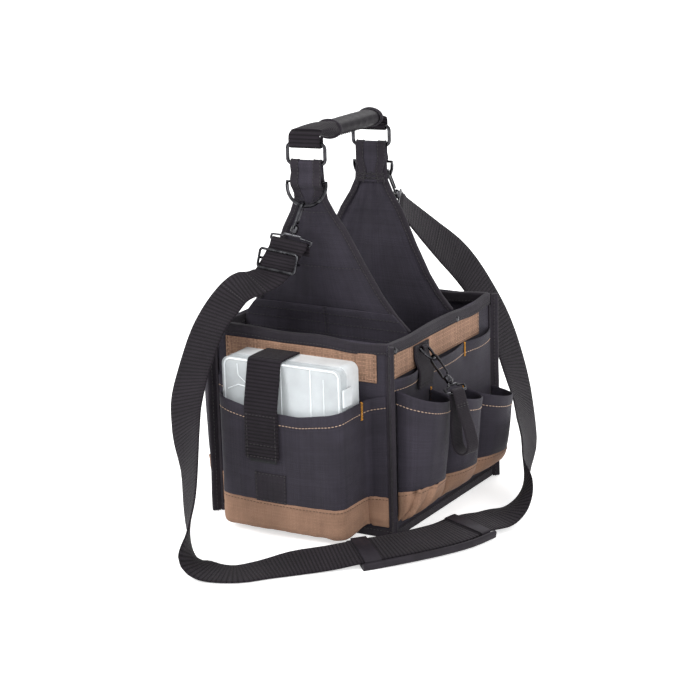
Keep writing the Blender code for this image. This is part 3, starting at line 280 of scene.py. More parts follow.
def thread_group(name, *extra):
    """The group of a thread pattern, with the place on the cloth counted in threads."""
    group, given, result = new_group(
        name, "ShaderNodeTree",
        (("Pitch", "NodeSocketFloat", 0.001), ("Contrast", "NodeSocketFloat", 0.5), *extra,
         ("Colour", "NodeSocketColor", None)), (("Colour", "NodeSocketColor"), ("Height", "NodeSocketFloat")))
    place = group.nodes.new("ShaderNodeUVMap")
    split = group.nodes.new("ShaderNodeSeparateXYZ")
    join(group, (place.outputs[0], split.inputs[0]))

    def op(kind, *values):
        return math_node(group, kind, *values)

    return group, given, result, op, [op("DIVIDE", split.outputs[k], given.outputs["Pitch"]) for k in (0, 1)]


def plain_weave():
    """Threads that go over and under each other, painted darker in the hollows between them as shade, and
    each thread a random tone. UVs are metres along and up the cloth.
    """
    group, given, result, op, places = thread_group("Plain weave", ("Uneven", "NodeSocketFloat", 0.2))
    pale, waves = [], []
    for place, shift in zip(places, (0.5, 200.5)):
        chance = group.nodes.new("ShaderNodeTexWhiteNoise")
        chance.noise_dimensions = "1D"
        join(group, (op("ADD", op("FLOOR", place), shift), chance.inputs["W"]))
        pale.append(chance.outputs["Value"])
        waves.append(op("ABSOLUTE", op("SINE", op("MULTIPLY", place, math.pi))))
    odd = op("PINGPONG", op("ADD", *(op("FLOOR", place) for place in places)), 1.0)
    even = op("SUBTRACT", 1.0, odd)
    height = op("ADD", op("MULTIPLY", waves[0], odd), op("MULTIPLY", waves[1], even))
    # Painted shade: the colour is darker where the threads dip into hollows, by the contrast.
    hollow_shade = op("MULTIPLY", given.outputs["Contrast"], op("SUBTRACT", 1.0, height))
    chosen = op("ADD", op("MULTIPLY", pale[0], odd), op("MULTIPLY", pale[1], even))
    chosen = op("MULTIPLY", op("SUBTRACT", chosen, 0.5), given.outputs["Uneven"])
    shade = op("MULTIPLY", op("SUBTRACT", 1.0, hollow_shade), op("ADD", chosen, 1.0))
    join(group, (scaled(group, given.outputs["Colour"], shade), result.inputs["Colour"]),
         (height, result.inputs["Height"]))
    return group


def ribbed_webbing():
    """Webbing's cross ribs with fine lengthwise yarns, painted darker between the ribs as shade. UVs are
    metres across and along it.
    """
    group, given, result, op, places = thread_group("Ribbed webbing")
    yarn = op("ABSOLUTE", op("SINE", op("MULTIPLY", places[0], 3 * turn)))
    rib = op("POWER", op("ABSOLUTE", op("SINE", op("MULTIPLY", places[1], math.pi))), 0.7)
    height = op("MULTIPLY", rib, op("ADD", op("MULTIPLY", yarn, 0.25), 0.75))
    # Painted shade: the colour is darker in the hollows between the ribs and yarns.
    hollow_shade = op("MULTIPLY", given.outputs["Contrast"], op("SUBTRACT", 1.0, height))
    join(group, (scaled(group, given.outputs["Colour"], op("SUBTRACT", 1.0, hollow_shade)),
                 result.inputs["Colour"]), (height, result.inputs["Height"]))
    return group


def handled_wear():
    """Slow changes of shade, with pale lint and dust in the hollows of the noise."""
    group, given, result = new_group(
        "Handled wear", "ShaderNodeTree",
        (("Colour", "NodeSocketColor", None), ("Amount", "NodeSocketFloat", 0.3),
         ("Scale", "NodeSocketFloat", 30.0)),
        (("Colour", "NodeSocketColor"), ("Mask", "NodeSocketFloat")))
    place = group.nodes.new("ShaderNodeTexCoord")
    broad = group.nodes.new("ShaderNodeTexNoise")
    broad.inputs["Detail"].default_value = 5
    broad.inputs["Roughness"].default_value = 0.6
    ramp = group.nodes.new("ShaderNodeMapRange")
    ramp.inputs["From Min"].default_value = 0.35
    ramp.inputs["From Max"].default_value = 0.70
    join(group, (place.outputs["Object"], broad.inputs["Vector"]),
         (given.outputs["Scale"], broad.inputs["Scale"]), (broad.outputs["Fac"], ramp.inputs["Value"]))
    amount = math_node(group, "MULTIPLY", ramp.outputs["Result"], given.outputs["Amount"])
    amount = math_node(group, "ADD", math_node(group, "MULTIPLY", amount, 0.9), 0.82)
    join(group, (scaled(group, given.outputs["Colour"], amount), result.inputs["Colour"]),
         (ramp.outputs["Result"], result.inputs["Mask"]))
    return group


def use_group(tree, group, values):
    """A group node in a material, with its inputs set to numbers, colours or sockets."""
    node = tree.nodes.new("ShaderNodeGroup")
    node.node_tree = group
    for label, value in values.items():
        if isinstance(value, bpy.types.NodeSocket):
            tree.links.new(value, node.inputs[label])
        else:
            node.inputs[label].default_value = value
    return node


def new_material(name, roughness, metallic=0.0):
    made = bpy.data.materials.new(name)
    made.use_nodes = True
    shader = made.node_tree.nodes["Principled BSDF"]
    shader.inputs["Roughness"].default_value = roughness
    shader.inputs["Metallic"].default_value = metallic
    finishes[name] = made
    return made.node_tree, shader


def worn(tree, shader, groups, colour, amount, scale):
    """Slow wear over a colour, or over a socket that gives one, as the shader's base colour."""
    wear = use_group(tree, groups["wear"], {"Amount": amount, "Scale": scale, "Colour": colour})
    tree.links.new(wear.outputs["Colour"], shader.inputs["Base Color"])
    return wear


def bumped(tree, shader, height, strength, distance):
    """A bump of the surface from a socket that gives its height."""
    bump = tree.nodes.new("ShaderNodeBump")
    bump.inputs["Strength"].default_value = strength
    bump.inputs["Distance"].default_value = distance
    join(tree, (height, bump.inputs["Height"]), (bump.outputs["Normal"], shader.inputs["Normal"]))


def woven(name, pattern, colour, pitch, contrast, depth, roughness, gloss, groups, uneven=0.0):
    """A woven material: a thread pattern with painted shade in its hollows, slow wear and a bump of the
    threads.
    """
    tree, shader = new_material(name, roughness)
    values = {"Pitch": pitch, "Contrast": contrast, "Colour": (*colour, 1)}
    if uneven:
        values["Uneven"] = uneven
    threads_node = use_group(tree, groups[pattern], values)
    worn(tree, shader, groups, threads_node.outputs["Colour"], 0.45, 26.0)
    bumped(tree, shader, threads_node.outputs["Height"], 0.6, depth)
    shader.inputs["Sheen Weight"].default_value = 0.05
    shader.inputs["Sheen Roughness"].default_value = 0.45
    shader.inputs["Specular IOR Level"].default_value = gloss


def build_finishes():
    s, c = sizes(), colours()
    groups = {"weave": plain_weave(), "ribs": ribbed_webbing(), "wear": handled_wear()}
    # After the pitch comes the contrast: how much painted shade darkens the hollows between threads.
    woven("black_cloth", "weave", c.black, s.weave_pitch, 0.45, 0.00025, 0.78, 0.28, groups, 0.35)
    woven("tan_cloth", "weave", c.tan, s.tan_pitch * 0.7, 0.15, 0.0003, 0.88, 0.25, groups, 0.12)
    woven("coarse_tan", "weave", c.tan, s.tan_pitch, 0.42, 0.0006, 0.88, 0.25, groups, 0.45)
    woven("binding_tape", "weave", c.binding, s.weave_pitch * 0.9, 0.40, 0.0002, 0.82, 0.28, groups, 0.4)
    woven("strap_webbing", "ribs", c.webbing, s.rib_pitch, 0.90, 0.0012, 0.72, 0.12, groups)
    woven("fine_webbing", "ribs", c.webbing, s.rib_pitch * 0.42, 0.60, 0.0004, 0.72, 0.15, groups)
    for name, colour in (("thread_tan", c.thread_tan), ("thread_orange", c.thread_orange),
                         ("thread_dark", c.thread_dark), ("thread_brown", c.thread_brown)):
        tree, shader = new_material(name, 0.6)
        worn(tree, shader, groups, (*colour, 1), 0.5, 400.0)

    tree, shader = new_material("dark_metal", 0.28, 1.0)
    wear = use_group(tree, groups["wear"], {"Amount": 0.9, "Scale": 160.0, "Colour": (*c.metal, 1)})
    # Lighter, rougher metal in the wear mask's patches: partly rubbed metal, partly painted highlights.
    polish_and_highlight = mix_colour(tree, wear.outputs["Mask"], tuple(c.metal), (0.085, 0.085, 0.092))
    tree.links.new(polish_and_highlight, shader.inputs["Base Color"])
    rough = math_node(tree, "ADD", math_node(tree, "MULTIPLY", wear.outputs["Mask"], 0.14), 0.14)
    tree.links.new(rough, shader.inputs["Roughness"])

    for name, shade, rough, grain in (("grip_leather", (0.0105, 0.0085, 0.0115), 0.52, 0.0005),
                                      ("moulded_rubber", (0.0190, 0.0160, 0.0205), 0.58, 0.0003)):
        tree, shader = new_material(name, rough)
        shader.inputs["Specular IOR Level"].default_value = 0.15
        worn(tree, shader, groups, (*shade, 1), 0.5, 60.0)
        place = tree.nodes.new("ShaderNodeTexCoord")
        cells = tree.nodes.new("ShaderNodeTexVoronoi")
        cells.inputs["Scale"].default_value = 700
        tree.links.new(place.outputs["Object"], cells.inputs["Vector"])
        bumped(tree, shader, cells.outputs["Distance"], 0.35, grain)

    tree, shader = new_material("fuzzy_pile", 0.95)
    worn(tree, shader, groups, (0.014, 0.014, 0.016, 1), 0.8, 500.0)

    for name, alpha in (("clear_plastic", 0.42), ("milky_plastic", 0.94)):
        tree, shader = new_material(name, 0.18)
        wear = worn(tree, shader, groups, (*c.plastic, 1), 0.3, 22.0)
        scratch = math_node(tree, "ADD", math_node(tree, "MULTIPLY", wear.outputs["Mask"], 0.10), 0.10)
        tree.links.new(scratch, shader.inputs["Roughness"])
        shader.inputs["Alpha"].default_value = alpha


# Sheets and sweeps

class Sheet:
    """A dense grid of points up and along a cloth's outer face, with its normals and lengths."""

    def __init__(self, grid, out):
        self.grid = grid
        self.out = np.array(out)
        self.measure()

    def measure(self):
        along = np.gradient(self.grid, axis=1)
        rise = np.gradient(self.grid, axis=0)
        normals = np.cross(along, rise)
        normals /= np.maximum(np.linalg.norm(normals, axis=2, keepdims=True), 1e-12)
        if (normals * self.out).sum(axis=2).mean() < 0:
            normals = -normals
        self.normals = normals
        self.u = lengths_of(self.grid, 1)
        self.v = lengths_of(self.grid, 0)

    def push(self, amount):
        self.grid = self.grid + self.normals * amount[..., None]
        self.measure()
        return self

    def at(self, row, column, lift):
        """A point of the sheet at a fractional row and column, lifted off it."""
        r = min(max(row, 0), self.grid.shape[0] - 1.001)
        c = min(max(column, 0), self.grid.shape[1] - 1.001)
        i, j = int(r), int(c)
        a, b = r - i, c - j
        spot = 0
        face = 0
        for di, dj, w in ((0, 0, (1 - a) * (1 - b)), (1, 0, a * (1 - b)), (0, 1, (1 - a) * b), (1, 1, a * b)):
            spot = spot + self.grid[i + di, j + dj] * w
            face = face + self.normals[i + di, j + dj] * w
        return Vector(spot + face * lift)


def lengths_of(grid, axis):
    """Mean distance from the first row or column, at each of them."""
    steps = np.linalg.norm(np.diff(grid, axis=axis), axis=2).mean(axis=1 - axis)
    return np.concatenate(([0], np.cumsum(steps)))


def softened(grid, axis, passes):
    """Smooth a grid along one axis with its two ends kept."""
    grid = np.moveaxis(grid.copy(), axis, 0)
    for _ in range(passes):
        grid[1:-1] = (grid[:-2] + 2 * grid[1:-1] + grid[2:]) / 4
    return np.moveaxis(grid, 0, axis)


def finer_grid(coarse, step, passes=(3, 3)):
    """A coarse grid with more rows and columns at even steps, and its creases softened."""
    grid = np.array(coarse, dtype=float)
    for axis in (0, 1):
        marks = lengths_of(grid, axis)
        count = max(int(round(marks[-1] / step)), 2)
        wanted = np.linspace(0, marks[-1], count + 1)
        rolled = np.moveaxis(grid, axis, 0)
        flat = rolled.reshape(len(marks), -1)
        flat = np.stack([np.interp(wanted, marks, flat[:, k]) for k in range(flat.shape[1])], axis=1)
        grid = np.moveaxis(flat.reshape(count + 1, *rolled.shape[1:]), 0, axis)
    grid = softened(grid, 0, passes[0])
    return softened(grid, 1, passes[1])


def folds(sheet, depth, size, seed, edges=(True, True, True, True)):
    """Soft folds over a sheet, which fade out at its sewn edges: foot, lip, left and right."""
    amount = np.zeros(sheet.grid.shape[:2])
    fade_length = 0.014
    for i, v in enumerate(sheet.v):
        for j, u in enumerate(sheet.u):
            first = noise.noise(Vector((u / size[0] + seed, v / size[1], seed * 0.37)))
            second = noise.noise(Vector((u / size[0] * 2.3, v / size[1] * 2.1 + seed, 7.1)))
            amount[i, j] = first + 0.4 * second
    fade = np.ones_like(amount)
    marks = ((edges[0], sheet.v, 0), (edges[1], sheet.v[-1] - sheet.v, 0),
             (edges[2], sheet.u, 1), (edges[3], sheet.u[-1] - sheet.u, 1))
    for sewn, distance, axis in marks:
        if sewn:
            share = np.clip(distance / fade_length, 0, 1)
            share = share * share * (3 - 2 * share)
            fade = fade * (share[:, None] if axis == 0 else share[None, :])
    return amount * fade * depth


def lip_hem(sheet, width, rise):
    """The folded hem below a lip: a little thicker, with a groove where it is stitched."""
    down = sheet.v[-1] - sheet.v
    step = 1 / (1 + np.exp((down - width) / 0.0006))
    groove = np.exp(-((down - width + 0.0012) / 0.0009) ** 2)
    return np.repeat((rise * step - rise * 1.2 * groove)[:, None], sheet.grid.shape[1], axis=1)


def put_mesh(name, points, faces, loops_uv, finish):
    """A smooth-shaded closed mesh with its UVs in metres."""
    mesh = bpy.data.meshes.new(name)
    mesh.from_pydata([tuple(p) for p in points], [], faces)
    layer = mesh.uv_layers.new(name="UVMap")
    layer.data.foreach_set("uv", np.array(loops_uv, dtype=np.float32).ravel())
    built = bmesh.new()
    built.from_mesh(mesh)
    bmesh.ops.recalc_face_normals(built, faces=built.faces)
    built.to_mesh(mesh)
    built.free()
    mesh.materials.append(finishes[finish])
    mesh.shade_smooth()
    mesh.set_sharp_from_angle(angle=math.radians(50))
    made = bpy.data.objects.new(name, mesh)
    bpy.context.scene.collection.objects.link(made)
    return made


def dress(made, body, nodes):
    """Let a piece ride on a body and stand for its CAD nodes."""
    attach(made, body)
    if nodes:
        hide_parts(*nodes)
    return made


def shell(name, sheet, thickness, finish, body, nodes):
    """A cloth of even thickness behind a sheet, with rounded edges."""
    rows, cols = sheet.grid.shape[:2]
    outer = sheet.grid.reshape(-1, 3)
    inner = (sheet.grid - sheet.normals * thickness).reshape(-1, 3)
    index = np.arange(rows * cols).reshape(rows, cols)
    uv = np.stack(np.meshgrid(sheet.u, sheet.v), axis=2).reshape(-1, 2)
    border = list(index[0, :]) + list(index[1:, -1]) + list(index[-1, -2::-1]) + list(index[-2:0:-1, 0])
    inside = (list(index[1, :]) + list(index[1:, -2]) + list(index[-2, -2::-1]) + list(index[-2:0:-1, 1]))
    edge = outer[border] - outer[inside]
    edge /= np.maximum(np.linalg.norm(edge, axis=1, keepdims=True), 1e-12)
    middle = (outer[border] + inner[border]) / 2 + edge * thickness * 0.45
    points = np.concatenate((outer, inner, middle))
    total = rows * cols
    quads = np.stack((index[:-1, :-1], index[:-1, 1:], index[1:, 1:], index[1:, :-1]), axis=2).reshape(-1, 4)
    faces = quads.tolist() + (quads[:, ::-1] + total).tolist()
    marks = [uv[k] for quad in faces for k in (n % total for n in quad)]
    count = len(border)
    for k in range(count):
        n = (k + 1) % count
        a, b = border[k], border[n]
        faces.append([b, a, 2 * total + k, 2 * total + n])
        faces.append([2 * total + n, 2 * total + k, a + total, b + total])
        marks += [uv[b], uv[a], uv[a], uv[b]] * 2
    return dress(put_mesh(name, points, faces, marks, finish), body, nodes)


def flat_section(half, thickness, steps=8):
    """Outline of flat webbing with round edges, as places across it and off it."""
    radius = thickness / 2
    spots = [(-half + radius + (2 * half - thickness) * k / steps, -radius) for k in range(steps + 1)]
    spots += [(half - radius + radius * math.cos(a), radius * math.sin(a)) for a in (-turn / 8, 0, turn / 8)]
    spots += [(half - radius - (2 * half - thickness) * k / steps, radius) for k in range(steps + 1)]
    spots += [(-half + radius - radius * math.cos(a), radius * math.sin(a)) for a in (turn / 8, 0, -turn / 8)]
    return np.array(spots)


def sweep(name, route, sections, finish, closed=False):
    """A closed outline carried along a route of centres, width directions and face directions."""
    centres, wides, faces_ = (np.array([tuple(v) for v in part]) for part in route)
    count = len(centres)
    sections = np.array(sections)
    if sections.ndim == 2:
        sections = np.repeat(sections[None], count, axis=0)
    sides = sections.shape[1]
    points = (centres[:, None] + wides[:, None] * sections[..., :1] + faces_[:, None] * sections[..., 1:])
    around = np.linalg.norm(np.diff(np.vstack((sections[0], sections[0][:1])), axis=0), axis=1)
    u = np.concatenate(([0], np.cumsum(around)))
    ring = np.vstack((centres, centres[:1])) if closed else centres
    v = np.concatenate(([0], np.cumsum(np.linalg.norm(np.diff(ring, axis=0), axis=1))))
    faces, marks = [], []
    for i in range(count if closed else count - 1):
        a, b = i * sides, (i + 1) % count * sides
        for k in range(sides):
            n = (k + 1) % sides
            faces.append([a + k, a + n, b + n, b + k])
            marks += [(u[k], v[i]), (u[k + 1], v[i]), (u[k + 1], v[i + 1]), (u[k], v[i + 1])]
    if not closed:
        faces += [list(range(sides)), [(count - 1) * sides + k for k in range(sides)]]
        marks += [tuple(s) for s in sections[0]] + [tuple(s) for s in sections[-1]]
    return put_mesh(name, points.reshape(-1, 3), faces, marks, finish)


def finer_route(centres, wides, halves, step, passes=2, closed=False):
    """A route with even short steps: centres, width directions, face directions and half widths."""
    points = np.array([tuple(c) for c in centres])
    sides = np.array([tuple(w) for w in wides])
    sizes_ = np.array(halves, dtype=float)
    if closed:
        points, sides, sizes_ = (np.concatenate((part, part[:1])) for part in (points, sides, sizes_))
    marks = np.concatenate(([0], np.cumsum(np.linalg.norm(np.diff(points, axis=0), axis=1))))
    count = max(int(round(marks[-1] / step)), 4)
    wanted = np.linspace(0, marks[-1], count + 1)
    points = np.stack([np.interp(wanted, marks, points[:, k]) for k in range(3)], axis=1)
    sides = np.stack([np.interp(wanted, marks, sides[:, k]) for k in range(3)], axis=1)
    sizes_ = np.interp(wanted, marks, sizes_)
    if closed:
        points, sides, sizes_ = points[:-1], sides[:-1], sizes_[:-1]
    for _ in range(passes):
        if closed:
            points = (np.roll(points, 1, axis=0) + 2 * points + np.roll(points, -1, axis=0)) / 4
        else:
            points[1:-1] = (points[:-2] + 2 * points[1:-1] + points[2:]) / 4
    if closed:
        along = np.roll(points, -1, axis=0) - np.roll(points, 1, axis=0)
    else:
        along = np.gradient(points, axis=0)
    along /= np.linalg.norm(along, axis=1, keepdims=True)
    sides /= np.linalg.norm(sides, axis=1, keepdims=True)
    faces_ = np.cross(along, sides)
    faces_ /= np.linalg.norm(faces_, axis=1, keepdims=True)
    return points, sides, faces_, sizes_


def strap(name, centres, wides, halves, thickness, finish, body, nodes, step=0.003, passes=2,
          closed=False):
    """Flat webbing with round edges along a route. Gives the object and its fine route."""
    route = finer_route(centres, wides, halves, step, passes, closed)
    sections = [flat_section(half, thickness) for half in route[3]]
    made = sweep(name, route[:3], sections, finish, closed)
    return dress(made, body, nodes), route


# Threads

def stitch(colour, points, body="root"):
    """Add a line of stitches, drawn later with the others of its colour and body."""
    threads.setdefault((colour, body), []).append([Vector(p) for p in points])


def bar_tack(foot, top, side, out):
    """A dense zigzag of thread from foot to top, wide along side and standing off along out."""
    s = sizes()
    count = 22
    points = []
    for k in range(count + 1):
        sway = s.tack_width / 2 * (1 if k % 2 else -1)
        points.append(foot + (top - foot) * (k / count) + side * sway + out * s.thread_radius)
    tacks.append(points)


def edge_line(sheet, edge, inset, lift, clear=0.0):
    """Points along a sheet at a distance from one edge: foot, lip, left or right."""
    rows, cols = sheet.grid.shape[:2]
    if edge in ("foot", "lip"):
        place = inset if edge == "foot" else sheet.v[-1] - inset
        row = np.interp(place, sheet.v, np.arange(rows))
        ends = np.interp((clear, sheet.u[-1] - clear), sheet.u, np.arange(cols))
        return [sheet.at(row, c, lift) for c in np.linspace(ends[0], ends[1], cols)]
    place = inset if edge == "left" else sheet.u[-1] - inset
    column = np.interp(place, sheet.u, np.arange(cols))
    ends = np.interp((clear, sheet.v[-1] - clear), sheet.v, np.arange(rows))
    return [sheet.at(r, column, lift) for r in np.linspace(ends[0], ends[1], rows)]


def repeated_group(name, *extra):
    """Geometry nodes that put a scaled ball on points, realized and with its material."""
    group, given, result = new_group(name, "GeometryNodeTree",
                                     (("Geometry", "NodeSocketGeometry", None), *extra,
                                      ("Radius", "NodeSocketFloat", 0.0005),
                                      ("Material", "NodeSocketMaterial", None)),
                                     (("Geometry", "NodeSocketGeometry"),))
    ball, size, put, real, colour = (group.nodes.new(kind) for kind in (
        "GeometryNodeMeshUVSphere", "ShaderNodeCombineXYZ", "GeometryNodeInstanceOnPoints",
        "GeometryNodeRealizeInstances", "GeometryNodeSetMaterial"))
    join(group, (ball.outputs["Mesh"], put.inputs["Instance"]), (size.outputs[0], put.inputs["Scale"]),
         (put.outputs["Instances"], real.inputs[0]), (real.outputs[0], colour.inputs["Geometry"]),
         (given.outputs["Material"], colour.inputs["Material"]), (colour.outputs[0], result.inputs[0]))
    return group, given, ball, size, put


def stitch_rows_group():
    """Geometry nodes that put a short round stitch at every step along the curves."""
    group, given, bead, size, put = repeated_group("Stitch rows", ("Pitch", "NodeSocketFloat", 0.004),
                                                   ("Length", "NodeSocketFloat", 0.0026))
    spots = group.nodes.new("GeometryNodeCurveToPoints")
    spots.mode = "LENGTH"
    bead.inputs["Segments"].default_value = 6
    bead.inputs["Rings"].default_value = 4
    bead.inputs["Radius"].default_value = 1.0
    half = math_node(group, "MULTIPLY", given.outputs["Length"], 0.5)
    join(group, (given.outputs["Radius"], size.inputs[0]), (given.outputs["Radius"], size.inputs[1]),
         (half, size.inputs[2]), (given.outputs["Geometry"], spots.inputs["Curve"]),
         (given.outputs["Pitch"], spots.inputs["Length"]), (spots.outputs["Points"], put.inputs["Points"]),
         (spots.outputs["Rotation"], put.inputs["Rotation"]))
    return group


def rivets_group():
    """Geometry nodes that put a domed rivet on each point, turned to the point's normal."""
    group, given, dome, size, put = repeated_group("Rivets")
    dome.inputs["Segments"].default_value = 20
    dome.inputs["Rings"].default_value = 12
    for index, share in enumerate((1.0, 1.0, 0.38)):
        size.inputs[index].default_value = share
    way = group.nodes.new("GeometryNodeInputNormal")
    turned_to = group.nodes.new("FunctionNodeAlignRotationToVector")
    turned_to.axis = "Z"
    join(group, (given.outputs["Radius"], dome.inputs["Radius"]),
         (way.outputs[0], turned_to.inputs["Vector"]), (given.outputs["Geometry"], put.inputs["Points"]),
         (turned_to.outputs[0], put.inputs["Rotation"]))
    return group


def poly_curve(name, lines, radius=0.0):
    """One curve object with a straight-stepped spline for each line of points."""
    curve = bpy.data.curves.new(name, "CURVE")
    curve.dimensions = "3D"
    curve.twist_mode = "MINIMUM"
    curve.bevel_depth = radius
    curve.bevel_resolution = 1
    curve.use_fill_caps = True
    for line in lines:
        spline = curve.splines.new("POLY")
        spline.points.add(len(line) - 1)
        for spot, point in zip(spline.points, line):
            spot.co = (*point, 1)
    made = bpy.data.objects.new(name, curve)
    bpy.context.scene.collection.objects.link(made)
    return made


def baked(made, name):
    """A plain mesh of an object's evaluated form, in place of the object."""
    graph = bpy.context.evaluated_depsgraph_get()
    graph.update()
    mesh = bpy.data.meshes.new_from_object(made.evaluated_get(graph))
    fresh = bpy.data.objects.new(name, mesh)
    bpy.context.scene.collection.objects.link(fresh)
    bpy.data.objects.remove(made, do_unlink=True)
    mesh.shade_smooth()
    return fresh


def set_inputs(mod, group, values):
    """Fill a Geometry Nodes modifier's inputs by their names."""
    for item in group.interface.items_tree:
        if item.in_out == "INPUT" and item.name in values:
            mod[item.identifier] = values[item.name]


def draw_threads():
    """Turn all lines of stitches and bar tacks into meshes, one for each colour and body."""
    s = sizes()
    group = stitch_rows_group()
    for (colour, body), lines in threads.items():
        rows = poly_curve("rows", lines)
        mod = rows.modifiers.new("Stitches", "NODES")
        mod.node_group = group
        set_inputs(mod, group, {"Pitch": s.stitch_pitch, "Length": s.stitch_length,
                                "Radius": s.thread_radius, "Material": finishes[colour]})
        dress(baked(rows, f"stitches_{colour[7:]}_{body}"), body, ())
    made = poly_curve("tacks", tacks, s.thread_radius * 1.15)
    made.data.materials.append(finishes["thread_orange"])
    dress(baked(made, "bar_tacks"), "root", ())


# The box

def wall_sheet(side, low, high, foot, top, out, step=None):
    """A flat grid on one wall's outer side, out metres off it."""
    origin, along, outward = wall_frame(side)
    corners = [[origin + along * a + outward * out + up * z for a in (low, high)] for z in (foot, top)]
    grid = finer_grid([[tuple(p) for p in row] for row in corners], step or sizes().grid_step * 1.6, (0, 0))
    return Sheet(grid, outward)


def wall_frame(side):
    """Place, along and outward directions of one wall's outer face."""
    return {
        "front": (Vector((0, -half_depth, 0)), Vector((1, 0, 0)), Vector((0, -1, 0))),
        "back": (Vector((0, half_depth, 0)), Vector((1, 0, 0)), Vector((0, 1, 0))),
        "right": (Vector((half_width, 0, 0)), Vector((0, 1, 0)), Vector((1, 0, 0))),
        "left": (Vector((-half_width, 0, 0)), Vector((0, 1, 0)), Vector((-1, 0, 0))),
    }[side]


def rounded_loop(reach_x, reach_y, radius, step, wobble, seed):
    """A level loop round the box with rounded corners: places, outward and upward directions."""
    spots = []
    for cx, cy, start in ((1, -1, -turn / 4), (1, 1, 0), (-1, 1, turn / 4), (-1, -1, turn / 2)):
        centre = Vector((cx * (reach_x - radius), cy * (reach_y - radius), 0))
        for k in range(5):
            angle = start + turn / 4 * k / 4
            way = Vector((math.cos(angle), math.sin(angle), 0))
            spots.append((centre + way * radius, way))
    centres, wides = [], []
    for (a, wa), (b, wb) in zip(spots, spots[1:] + spots[:1]):
        count = max(int((b - a).length / step), 1)
        for k in range(count):
            t = k / count
            centres.append(a.lerp(b, t))
            wides.append(wa.lerp(wb, t).normalized())
    for centre, wide in zip(centres, wides):
        sway = noise.noise(Vector((centre.x * 22, centre.y * 22, seed)))
        centre += wide * (sway * wobble * 0.5)
        centre.z += noise.noise(Vector((centre.x * 16 + seed, centre.y * 16, 3.3))) * wobble
    return centres, wides, [up] * len(centres)


def build_corner_seams():
    """The bound seam that closes each upright corner behind its welt."""
    leg = welt_thickness - gap
    low, high = gap / 2, gap + tape
    outline = [(-leg, low), (-leg, high), (-leg * 0.4, high), (high - 0.0006, high), (high, high - 0.0006),
               (high, -leg * 0.4), (high, -leg), (low, -leg), (low, low)]
    count = 30
    levels = np.linspace(base_band_height + gap, box_height - rim_tape_drop - gap, count)
    for name, x_side, y_side in corners:
        centres = [Vector((x_side * half_width, y_side * half_depth, z)) for z in levels]
        made = sweep(f"corner_seam_{name}", (centres, [Vector((x_side, 0, 0))] * count,
                                             [Vector((0, y_side, 0))] * count), outline, "binding_tape")
        dress(made, "root", ())


